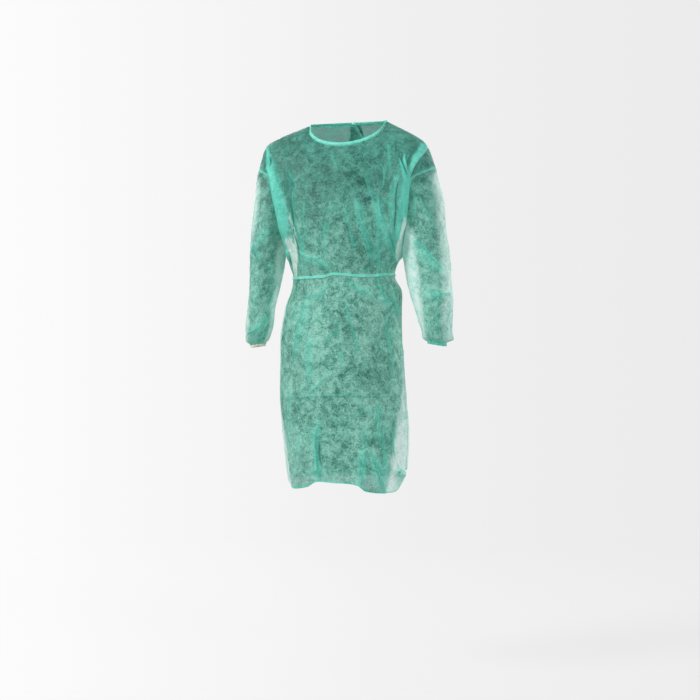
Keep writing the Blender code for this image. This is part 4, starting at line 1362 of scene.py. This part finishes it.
def ribbon(
    name, centres, sideways, normals, width, wall, material, closed=False, section=12, squareness=0.6
):
    """A tape swept along a line: width runs sideways and wall along the normals."""
    count = len(centres)
    width = np.broadcast_to(width, (count,))
    wall = np.broadcast_to(wall, (count,))
    angle = 2 * math.pi * np.arange(section) / section
    across = np.sign(np.cos(angle)) * np.abs(np.cos(angle)) ** squareness
    out = np.sign(np.sin(angle)) * np.abs(np.sin(angle)) ** squareness
    grid = (
        centres[:, None]
        + sideways[:, None] * (across[None] * width[:, None] / 2)[..., None]
        + normals[:, None] * (out[None] * wall[:, None] / 2)[..., None]
    )
    if closed:
        faces = grid_faces(count + 1, section, closed=True) % (count * section)
    else:
        faces = tube_faces(count, section)
    return mesh_object(name, grid.reshape(-1, 3), faces, material, solid=True)


def evenly(line, step, closed=False):
    """The same line with its points an even distance apart. Its first three columns are the place."""
    line = np.asarray(line)
    if closed:
        line = np.concatenate([line, line[:1]])
    lengths = np.linalg.norm(np.diff(line[:, :3], axis=0), axis=1)
    run = np.concatenate([[0], np.cumsum(lengths)])
    count = max(int(run[-1] / step), 2)
    at = np.linspace(0, run[-1], count + 1)
    if closed:
        at = at[:-1]
    return np.stack([np.interp(at, run, line[:, k]) for k in range(line.shape[1])], axis=1)


def line_frames(line, outward, closed=False):
    """For each point of a line: its direction, a normal near outward, and sideways between them."""
    if closed:
        ahead = unit(np.roll(line, -1, axis=0) - np.roll(line, 1, axis=0))
    else:
        ahead = unit(np.gradient(line, axis=0))
    sideways = unit(np.cross(outward, ahead))
    return ahead, unit(np.cross(ahead, sideways)), sideways


def facing(vectors, way):
    """The same vectors, turned over where they point against the given way."""
    return vectors * np.sign((vectors * way).sum(axis=1))[:, None]


def stitches(name, line, outward, material, step=STITCH_STEP, length=STITCH_LENGTH):
    """A row of short threads along a line."""
    both = evenly(np.concatenate([line, outward], axis=1), step)
    line, outward = both[:, :3], unit(both[:, 3:])
    angle = 2 * math.pi * np.arange(STITCH_SIDES) / STITCH_SIDES
    one = tube_faces(len(STITCH_PROFILE), STITCH_SIDES)
    vertices, faces = [], []
    for centre, ahead, out, aside in zip(line, *line_frames(line, outward)):
        base = len(vertices)
        for along, thick, lift in STITCH_PROFILE:
            middle = centre + ahead * along * length + out * THREAD * lift
            for a in angle:
                vertices.append(middle + (aside * math.cos(a) + out * math.sin(a)) * THREAD * thick)
        faces += [[base + k for k in face] for face in one]
    place(mesh_object(name, np.array(vertices), faces, material), "trim")


def back_outside(across, z, distance):
    """Points outside both back panels, below the underarm."""
    across = np.atleast_1d(np.asarray(across, float))
    point = ring_point(across, np.atleast_1d(z), BACK)
    angle = across * math.pi / 2
    return point + points(np.sin(angle), np.cos(angle), 0 * angle) * distance


class Tree:
    """A tree of shader nodes, with a short way to add each kind that is used here."""

    def __init__(self, owner):
        owner.use_nodes = True
        self.nodes, self.links = owner.node_tree.nodes, owner.node_tree.links
        self.nodes.clear()

    def put(self, socket, value):
        """Joins a socket to another, or sets its own value."""
        if isinstance(value, bpy.types.NodeSocket):
            self.links.new(value, socket)
        else:
            socket.default_value = value

    def add(self, kind, **values):
        """A node, with the inputs of these names set or joined."""
        found = self.nodes.new("ShaderNode" + kind)
        for key, value in values.items():
            self.put(found.inputs[key.replace("_", " ")], value)
        return found

    def noise(self, source, scale, detail, roughness, distortion, stretch=1):
        """A noise texture on flat coordinates in metres, drawn out along one way if asked."""
        mapping = self.add("Mapping", Vector=source, Scale=(scale, scale * stretch, scale))
        found = self.add(
            "TexNoise", Vector=mapping.outputs["Vector"],
            Scale=1.0, Detail=detail, Roughness=roughness, Distortion=distortion,
        )
        return found.outputs["Fac"]

    def strands(self, source, turn):
        """Short fibres that lie along one way, as a noise drawn out in that direction."""
        turned = self.add("Mapping", Vector=source, Rotation=(0, 0, turn))
        along, across = STRAND_SCALES
        return self.noise(turned.outputs["Vector"], across, 3, 0.6, 0.7, along / across)

    def ramp(self, source, stops):
        """Colours or greys between stops."""
        found = self.add("ValToRGB", Fac=source)
        elements = found.color_ramp.elements
        while len(elements) < len(stops):
            elements.new(0.5)
        for element, (at, colour) in zip(elements, stops):
            element.position = at
            element.color = (*colour, 1) if isinstance(colour, tuple) else (colour, colour, colour, 1)
        return found.outputs["Color"]

    def math(self, kind, first, second, clamp=False):
        found = self.add("Math")
        found.operation = kind
        found.use_clamp = clamp
        self.put(found.inputs[0], first)
        self.put(found.inputs[1], second)
        return found.outputs[0]

    def vector_math(self, kind, first, second=None):
        found = self.add("VectorMath")
        found.operation = kind
        self.put(found.inputs[0], first)
        if second is not None:
            self.put(found.inputs[1], second)
        return found.outputs["Value"]

    def tone(self, name):
        found = self.add("Attribute")
        found.attribute_name = name
        return found.outputs["Fac"]

    def total(self, *parts):
        """The sum of values, each times its weight."""
        found = None
        for value, weight in parts:
            part = self.math("MULTIPLY", value, weight)
            found = part if found is None else self.math("ADD", found, part)
        return found

    def mixed(self, share, first, second):
        """One colour that gives way to another."""
        found = self.add("Mix")
        found.data_type = "RGBA"
        factor = next(s for s in found.inputs if s.name == "Factor" and s.type == "VALUE")
        colours = [s for s in found.inputs if s.type == "RGBA"]
        for socket, value in zip((factor, *colours), (share, first, second)):
            self.put(socket, value)
        return next(s for s in found.outputs if s.type == "RGBA")

    def blend(self, share, first, second):
        """One shader that gives way to another."""
        found = self.add("MixShader", Fac=share)
        self.put(found.inputs[1], first)
        self.put(found.inputs[2], second)
        return found.outputs["Shader"]

    def fabric(self, colour, height, strength, distance, through, **values):
        """Rough cloth with a bump, which lets some light through."""
        bump = self.add("Bump", Strength=strength, Distance=distance, Height=height)
        shader = self.add("BsdfPrincipled", Base_Color=colour, Normal=bump.outputs["Normal"], **values)
        glow = self.add("BsdfTranslucent", Color=colour)
        return self.blend(through, shader.outputs["BSDF"], glow.outputs["BSDF"])

    def finish(self, surface):
        self.add("OutputMaterial", Surface=surface)


def cloth_material():
    """Thin non-woven cloth: cloudy fibres, dark thin places and brighter folds, partly see-through. Painted
    light is laid on it: highlights on ridges and creases, shade in troughs, beside creases and over the
    shoulders, and backlight where it hangs free.
    """
    material = bpy.data.materials.new("nonwoven_cloth")
    tree = Tree(material)
    flat = tree.add("UVMap")
    flat.uv_map = "cloth"
    source = flat.outputs["UV"]
    values = {name: tree.noise(source, *settings) for name, settings in CLOTH_NOISES.items()}
    fibres = tree.strands(source, STRAND_TURNS[0])
    for turn in STRAND_TURNS[1:]:
        fibres = tree.math("MAXIMUM", fibres, tree.strands(source, turn))
    values["fibres"] = fibres
    for name in ("free", "crease", "relief", "bright", "layers", "painted_shade"):
        values[name] = tree.tone(name)
    tone = tree.total(*((values[name], share) for name, share in TONE_SHARES.items()))
    height = tree.total(*((values[name], share) for name, share in BUMP_SHARES.items()))
    colours = {
        "mint": tree.ramp(tone, MINT_COLOURS),
        # painted backlight
        "pale": tree.ramp(tone, PAINTED_BACKLIGHT_COLOURS),
        # painted shade
        "shaded": tree.ramp(tone, SHADED_COLOURS),
        # painted highlight along the creases
        "line": CREASE_HIGHLIGHT_COLOUR,
        # painted shade in troughs and beside creases
        "painted_fold_shade": PAINTED_FOLD_SHADE_COLOUR,
    }
    body = tree.ramp(tone, CLOTH_COLOURS)
    for name, weight, colour in COLOUR_LAYERS:
        body = tree.mixed(tree.math("MULTIPLY", values[name], weight, True), body, colours[colour])
    cloth = tree.fabric(
        body, height, 0.45, 0.0008, CLOTH_THROUGH,
        Roughness=0.58, Specular_IOR_Level=0.35, Sheen_Weight=0.10, Sheen_Roughness=0.4,
    )
    cover = tree.ramp(tone, CLOTH_COVER)
    cover = tree.math("SUBTRACT", cover, tree.math("MULTIPLY", values["free"], FREE_COVER))
    thicker = tree.math("MAXIMUM", values["bright"], values["layers"])
    thicker = tree.math("MULTIPLY", thicker, DOUBLE_COVER)
    cover = tree.math("ADD", cover, thicker, True)
    clear = tree.add("BsdfTransparent", Color=CLEAR_COLOUR)
    tree.finish(tree.blend(cover, clear.outputs["BSDF"], cloth))
    return material


def tape_material(name, dark, light, roughness=0.6, fibre=900.0, through=0.15):
    """Folded tape or elastic: fine fibres over a plain colour."""
    material = bpy.data.materials.new(name)
    tree = Tree(material)
    source = tree.add("TexCoord").outputs["Object"]
    fine = tree.noise(source, fibre, 3, 0.6, 0.8)
    broad = tree.noise(source, 70, 3, 0.55, 0.5)
    tone = tree.total((fine, 0.5), (broad, 0.5))
    body = tree.ramp(tone, ((0.38, dark), (0.62, light)))
    tree.finish(tree.fabric(
        body, tone, 0.4, 0.0004, through,
        Roughness=roughness, Specular_IOR_Level=0.3, Sheen_Weight=0.12,
    ))
    return material


def wavy(count, seed, size, most):
    """Seeded uneven waves along a tape, up to about this much, of this size in points."""
    draw = random.Random(seed)
    start = draw.uniform(0, 50)
    return np.array([noise.noise(Vector((start + k * size, 0.3, seed))) for k in range(count)]) * most


def make_neck_binding(trim, thread):
    """The folded tape that stands on the neck seam, with its stitches."""
    gap = NECK_KNOT[0] / 2 + SEAM_GAP
    end = math.asin(gap / SHOULDER[LEFT][0][1]) / (math.pi / 2) * NECK_SHARE
    round_left = np.linspace(end, NECK_SHARE, 70)
    front = np.linspace(NECK_SHARE, -NECK_SHARE, 190)[1:-1]
    parts = ((round_left, BACK), (front, FRONT), (-round_left[::-1], BACK))
    low = np.concatenate([top_point(*part) for part in parts])
    way = np.concatenate([neck_direction(*part) for part in parts])
    both = evenly(np.concatenate([low, way], axis=1), BINDING_STEP)
    low, way = both[:, :3], unit(both[:, 3:])
    out = facing(unit(np.cross(unit(np.gradient(low, axis=0)), way)), low * (1, 1, 0))
    count = len(low)
    height = BINDING_HEIGHT * 0.97 + wavy(count, seed=3, size=0.35, most=0.0005)
    aside = wavy(count, seed=4, size=0.22, most=0.0004)
    centres = low + way * (height / 2)[:, None] + out * aside[:, None]
    uneven = 0.10 * np.sin(np.arange(count) * 1.9) + wavy(count, seed=5, size=0.5, most=0.25)
    obj = ribbon("binding", centres, way, out, height, BINDING_WALL * (1 + uneven), trim, section=16)
    place(obj, "trim", "neck_binding")
    line = low + way * BINDING_SEWN_AT + out * (BINDING_WALL / 2 + 2 * THREAD_LIFT)
    stitches("binding_stitches", line, out, thread)


def seam_ribbon(name, line, outward, trim, closed=False, width=SEAM_WIDTH, wall=SEAM_WALL):
    """A low narrow ridge along a seam."""
    outward = np.broadcast_to(outward, line.shape)
    both = evenly(np.concatenate([line, outward], axis=1), SEAM_STEP, closed)
    line, outward = both[:, :3], unit(both[:, 3:])
    _, normals, sideways = line_frames(line, outward, closed)
    width = width * (1 + wavy(len(line), seed=len(name), size=0.45, most=0.25))
    centres = line + normals * SEAM_LIFT
    obj = ribbon(name, centres, sideways, normals, width, wall, trim, closed, section=10, squareness=0.45)
    place(obj, "cloth")


def make_seams(trim):
    """The sewn seams between the panels."""
    levels = body_levels()
    for hand, word in WORDS.items():
        line = armhole_point(np.linspace(0, 1, 180, endpoint=False), hand)
        out = unit(line - line.mean(axis=0)) + np.array([hand * 0.5, 0, 0.3])
        seam_ribbon(f"armhole_seam_{word}", line, unit(out), trim, closed=True)
        side = np.array([body_point(hand, level, FRONT)[0] for level in levels[levels <= 3]])
        seam_ribbon(f"side_seam_{word}", side, (hand, 0, 0), trim, width=0.0022, wall=0.0008)
        top = top_point(hand * np.linspace(NECK_SHARE, 1, 60), FRONT)
        seam_ribbon(f"shoulder_seam_{word}", top, (hand * 0.3, 0, 1), trim, width=0.0024, wall=0.0008)


def make_cuff(hand, trim, elastic, thread):
    """The gathered edge at the sleeve's end: tape on the left, and elastic that shows on the right."""
    turn = np.arange(SLEEVE_COLUMNS * 2) / (SLEEVE_COLUMNS * 2)
    edge = sleeve_grid(turn, np.array([1.0]), hand)[0]
    angle = 2 * math.pi * turn
    out = points(hand * np.cos(angle), -np.sin(angle), 0 * angle)
    down = np.array([0.0, 0.0, -1.0])
    ruffle = 0.0007 * small_gathers(angle) + 0.0004 * np.cos(71 * angle)
    height = CUFF_HEIGHT if hand == LEFT else CUFF_HEIGHT - ELASTIC_HEIGHT
    centres = edge + down * (height / 2 + CUFF_BITE) + out * (ruffle - CUFF_INSET)[:, None]
    wall = CUFF_WALL * (1 + 0.35 * small_gathers(angle, 1.2))
    _, normals, sideways = line_frames(centres, out, closed=True)
    name = f"cuff_edge_{WORDS[hand]}"
    obj = ribbon(name, centres, sideways, normals, height, wall, trim, True, 14, 0.7)
    place(obj, "trim" if hand == LEFT else "elastic", f"cuff_{WORDS[hand]}")
    if hand == LEFT:
        line = edge + down * (height * CUFF_SEWN_AT) + out * (ruffle + CUFF_WALL / 2)[:, None]
        stitches("cuff_stitches_left", line, out, thread)
        return
    centres = edge + down * (height + ELASTIC_HEIGHT / 2) + out * (0.3 * ruffle - ELASTIC_INSET)[:, None]
    wall = ELASTIC_WALL * (1 + 0.15 * np.cos(60 * angle))
    _, normals, sideways = line_frames(centres, out, closed=True)
    band = ribbon("cuff_elastic_right", centres, sideways, normals, ELASTIC_HEIGHT, wall, elastic, True)
    place(band, "elastic")


def row_at(across_grid, point_grid, level_index, across):
    """Points of a panel's row at coordinates between its columns."""
    row_across, row = across_grid[level_index], point_grid[level_index]
    order = np.argsort(row_across)
    return np.stack([np.interp(across, row_across[order], row[order, k]) for k in range(3)], axis=1)


def make_belt(front, left, right, trim, thread):
    """A flat tie on the panels' own points, moved out."""
    knot = BELT_KNOT_SHARE * 0.55
    lap = float(between(LAP, 1)[0])
    runs = (
        (back_across(LEFT), left, np.linspace(knot, 0.998, 120)),
        (front_across(), front, np.linspace(0.995, -0.995, 240)),
        (back_across(RIGHT), right, np.linspace(-0.998, -lap - 0.012, 90)),
        (back_across(LEFT), left, np.linspace(-lap + 0.006, -knot, 26)),
    )
    edges = [
        np.concatenate([row_at(across_grid, panel, index, across) for across_grid, panel, across in runs])
        for index in (SKIRT_ROWS, SKIRT_ROWS + BELT_ROWS)
    ]
    both = evenly(np.concatenate(edges, axis=1), BELT_STEP)
    low, high = both[:, :3], both[:, 3:]
    count = len(low)
    up = unit(high - low)
    middle = (low + high) / 2
    ahead = unit(np.gradient(middle, axis=0))
    out = facing(unit(np.cross(ahead, up)), middle * (1, 1, 0))
    for _ in range(6):
        out = unit(out + 0.5 * (np.roll(out, 1, 0) + np.roll(out, -1, 0)))
    out[0], out[-1] = out[1], out[-2]
    middle = middle + out * BELT_RISE + up * wavy(count, seed=8, size=0.10, most=0.0009)[:, None]
    twist = wavy(count, seed=9, size=0.07, most=0.55)
    aside = unit(up + out * twist[:, None] * 0.5)
    normal = facing(unit(np.cross(ahead, aside)), out)
    width = BELT_WIDTH * BELT_SHOWN_WIDTH * (1 + wavy(count, seed=10, size=0.12, most=0.16))
    belt = ribbon("belt", middle, aside, normal, width, BELT_WALL, trim, section=14)
    place(belt, "trim", "waist_belt")
    for word, share in (("lower", -BELT_SEWN_AT), ("upper", BELT_SEWN_AT)):
        line = middle + aside * (width * share)[:, None] + normal * (BELT_WALL / 2 + THREAD_LIFT)
        stitches(f"belt_stitches_{word}", line, normal, thread, 0.004, 0.0028)


def make_knot(name, centre, size, trim, node, seed):
    """A pulled-tight knot: tape wrapped slantwise round a folded core."""
    polar = np.linspace(KNOT_TIP, math.pi - KNOT_TIP, KNOT_ROWS)[:, None]
    around = np.linspace(0, 2 * math.pi, KNOT_COLUMNS, endpoint=False)[None]
    x = np.cos(polar) * np.ones_like(around)
    y = np.sin(polar) * np.cos(around)
    z = np.sin(polar) * np.sin(around)
    slant = x + 0.35 * z
    wrap = np.exp(-((slant / 0.34) ** 4))
    groove = np.exp(-(((np.abs(slant) - 0.40) / 0.07) ** 2))
    folds = 0.05 * np.sin(5 * around + 3 * x + seed) * (1 - wrap) + 0.03 * np.sin(14 * slant + 2 * y)
    scale = 0.90 + 0.10 * wrap - 0.16 * groove + folds * 0.6
    grid = points(x * scale * size[0] / 2, y * scale * size[1] / 2, z * scale * size[2] / 2) + centre
    obj = mesh_object(name, grid.reshape(-1, 3), tube_faces(KNOT_ROWS, KNOT_COLUMNS), trim, solid=True)
    place(obj, "trim", node)


def make_tail(name, node, start, path, width, trim, thread, seed):
    """A tie's loose end, with its stitched edge."""
    share = np.linspace(0, 1, TAIL_ROWS + 1)
    centre, sideways = path(share)
    count = len(share)
    blend = ease(share / TAIL_LEAD_IN)
    middle = start + (centre - start) * blend[:, None]
    sway = wavy(count, seed, size=0.09, most=0.0016) * blend
    middle = middle + points(0 * share, sway, 0 * share)
    ahead = unit(np.gradient(middle, axis=0))
    twist = wavy(count, seed + 1, size=0.05, most=0.5) * blend
    out = unit(np.cross(ahead, sideways))
    out = out * np.sign(out[:, 1:2])
    aside = unit(sideways + out * twist[:, None])
    normal = facing(unit(np.cross(ahead, aside)), out)
    tail = ribbon(name, middle, aside, normal, width * TAIL_SHOWN_WIDTH, TAIL_WALL, trim)
    place(tail, "trim", node)
    line = middle + aside * (width * TAIL_SEWN_AT) + normal * (TAIL_WALL / 2 + THREAD_LIFT)
    stitches(f"{name}_stitches", line[2:-1], normal[2:-1], thread)


def make_belt_ties(trim, thread):
    belt_z = float(between(BELT, 270)[0])
    centre = back_outside(0, belt_z, BELT_KNOT_STANDOFF + LAP_LIFT)[0]
    make_knot("belt_knot_tied", centre, BELT_KNOT, trim, "belt_knot", 1.0)
    for hand, word in WORDS.items():
        start = centre + np.array([hand * BELT_KNOT[0] / 4, 0.001, -BELT_KNOT[2] * KNOT_FACE - SEAM_GAP])

        def path(share, hand=hand, start=start):
            across = hand * (BELT_TAIL_SPREAD[0] + BELT_TAIL_SPREAD[1] * share)
            z = start[2] - BELT_TAIL_LENGTH[hand] * share
            point = back_outside(across, z, TAIL_CLEARANCE + LAP_LIFT)
            return point, np.tile(unit(np.array([1, 0, -hand * BELT_TAIL_SLANT])), (len(share), 1))

        seed = BELT_TAIL_SEED + hand
        make_tail(f"belt_end_{word}", f"belt_tail_{word}", start, path, BELT_WIDTH, trim, thread, seed)


def make_neck_ties(trim, thread):
    zero = np.array([0.0])
    base = top_point(zero, BACK)[0] + neck_direction(zero, BACK)[0] * (SEAM_GAP / 2 + BINDING_HEIGHT / 2)
    centre = base + np.array([0, 0.0025, 0])
    make_knot("neck_knot_tied", centre, NECK_KNOT, trim, "neck_knot", 2.4)
    for hand, word in WORDS.items():
        outside = NECK_KNOT[1] * KNOT_FACE + SEAM_GAP + TAIL_WALL / 2
        start = centre + np.array([hand * NECK_KNOT[0] / 3, outside, 0])

        def path(share, hand=hand):
            found = []
            for value in share:
                across = hand * (NECK_TAIL_SPREAD[0] + NECK_TAIL_SPREAD[1] * value)
                level = 5 - 2 * NECK_TAIL_LENGTH[hand] / BACK_LENGTH * value
                found.append(body_point(across, level, BACK)[0] + (0, TAIL_CLEARANCE + LAP_LIFT, 0))
            return np.array(found), np.tile(unit(np.array([1, 0, hand * NECK_TAIL_SLANT])), (len(share), 1))

        seed = NECK_TAIL_SEED + hand
        make_tail(f"neck_end_{word}", f"neck_tail_{word}", start, path, BINDING_HEIGHT, trim, thread, seed)


def aimed(obj, ahead):
    """Turns a camera or light so that it looks ahead."""
    obj.rotation_euler = ahead.to_track_quat("-Z", "Y").to_euler()


def make_camera():
    azimuth = math.radians(CAMERA_AZIMUTH)
    forward = Vector((-math.sin(azimuth), math.cos(azimuth), 0))
    aside = Vector((math.cos(azimuth), math.sin(azimuth), 0))
    target = aside * CAMERA_ASIDE + Vector((0, 0, CAMERA_HEIGHT))
    data = bpy.data.cameras.new("camera")
    data.sensor_width = SENSOR
    data.lens = SENSOR * CAMERA_DISTANCE / (METRES_PER_PIXEL * PICTURE_PIXELS)
    camera = linked("camera", data)
    camera.location = target - forward * CAMERA_DISTANCE
    aimed(camera, forward)
    bpy.context.scene.camera = camera


def make_surround():
    """A pale surround for the camera, and an even one that lights the cloth."""
    world = bpy.data.worlds.new("surround")
    tree = Tree(world)
    azimuth = math.radians(CAMERA_AZIMUTH)
    way = tree.add("TexCoord").outputs["Generated"]
    aside = tree.vector_math("DOT_PRODUCT", way, (math.cos(azimuth), math.sin(azimuth), 0))
    share = tree.math("ADD", tree.math("MULTIPLY", aside, 2.0), 0.5)
    seen = tree.add("Background", Color=tree.ramp(share, SURROUND))
    ambient = tree.add("Background", Color=(1, 1, 1, 1), Strength=AMBIENT)
    is_seen = tree.add("LightPath").outputs["Is Camera Ray"]
    both = tree.blend(is_seen, ambient.outputs["Background"], seen.outputs["Background"])
    tree.add("OutputWorld", Surface=both)
    bpy.context.scene.world = world


def make_floor():
    """A pale round floor that fades out towards its edge."""
    material = bpy.data.materials.new("floor")
    tree = Tree(material)
    shader = tree.add("BsdfPrincipled", Base_Color=FLOOR_COLOUR, Roughness=0.9, Specular_IOR_Level=0.1)
    reach = tree.vector_math("LENGTH", tree.add("TexCoord").outputs["Object"])
    fade = tree.ramp(tree.math("DIVIDE", reach, FLOOR_REACH), FLOOR_SHOWS)
    clear = tree.add("BsdfTransparent")
    tree.finish(tree.blend(fade, clear.outputs["BSDF"], shader.outputs["BSDF"]))
    around = 2 * math.pi * np.arange(FLOOR_SPOKES) / FLOOR_SPOKES
    rings = [points(r * np.cos(around), r * np.sin(around), 0 * around) for r in FLOOR_RINGS]
    vertices = np.concatenate(rings + [np.zeros((1, 3))])
    faces = grid_faces(len(FLOOR_RINGS), FLOOR_SPOKES, closed=True).tolist()
    middle = len(FLOOR_RINGS) * FLOOR_SPOKES
    faces += [((k + 1) % FLOOR_SPOKES, k, middle) for k in range(FLOOR_SPOKES)]
    floor = mesh_object("floor", vertices, faces, material)
    floor.location = (0, 0, FLOOR_Z)


def make_lights():
    """Large soft lights that all point at the gown's middle."""
    for name, location, size, power, colour in LIGHTS:
        data = bpy.data.lights.new(name, "AREA")
        data.shape = "RECTANGLE"
        data.size, data.size_y = size
        data.energy = power
        data.color = colour
        light = linked(name, data)
        light.location = location
        aimed(light, Vector(LIT_POINT) - Vector(location))


def set_colours():
    view = bpy.context.scene.view_settings
    view.view_transform = "Standard"
    view.look = "None"


def main():
    clear_default_scene()
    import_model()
    make_camera()
    make_surround()
    make_floor()
    make_lights()
    set_colours()
    cloth = cloth_material()
    trim = tape_material("trim_tape", (0.085, 0.480, 0.380), (0.200, 0.700, 0.580))
    seam = tape_material("seam_tape", (0.130, 0.480, 0.385), (0.240, 0.620, 0.520))
    elastic = tape_material("elastic_band", (0.760, 0.740, 0.590), (0.900, 0.880, 0.740))
    thread = tape_material("sewing_thread", (0.220, 0.560, 0.460), (0.340, 0.700, 0.600), 0.5, 1500.0, 0.05)
    front = make_front(cloth)
    left = make_back(LEFT, cloth)
    right = make_back(RIGHT, cloth)
    for hand in (LEFT, RIGHT):
        make_sleeve(hand, cloth)
        make_cuff(hand, trim, elastic, thread)
    make_seams(seam)
    make_neck_binding(trim, thread)
    make_belt(front, left, right, trim, thread)
    make_belt_ties(trim, thread)
    make_neck_ties(trim, thread)


main()
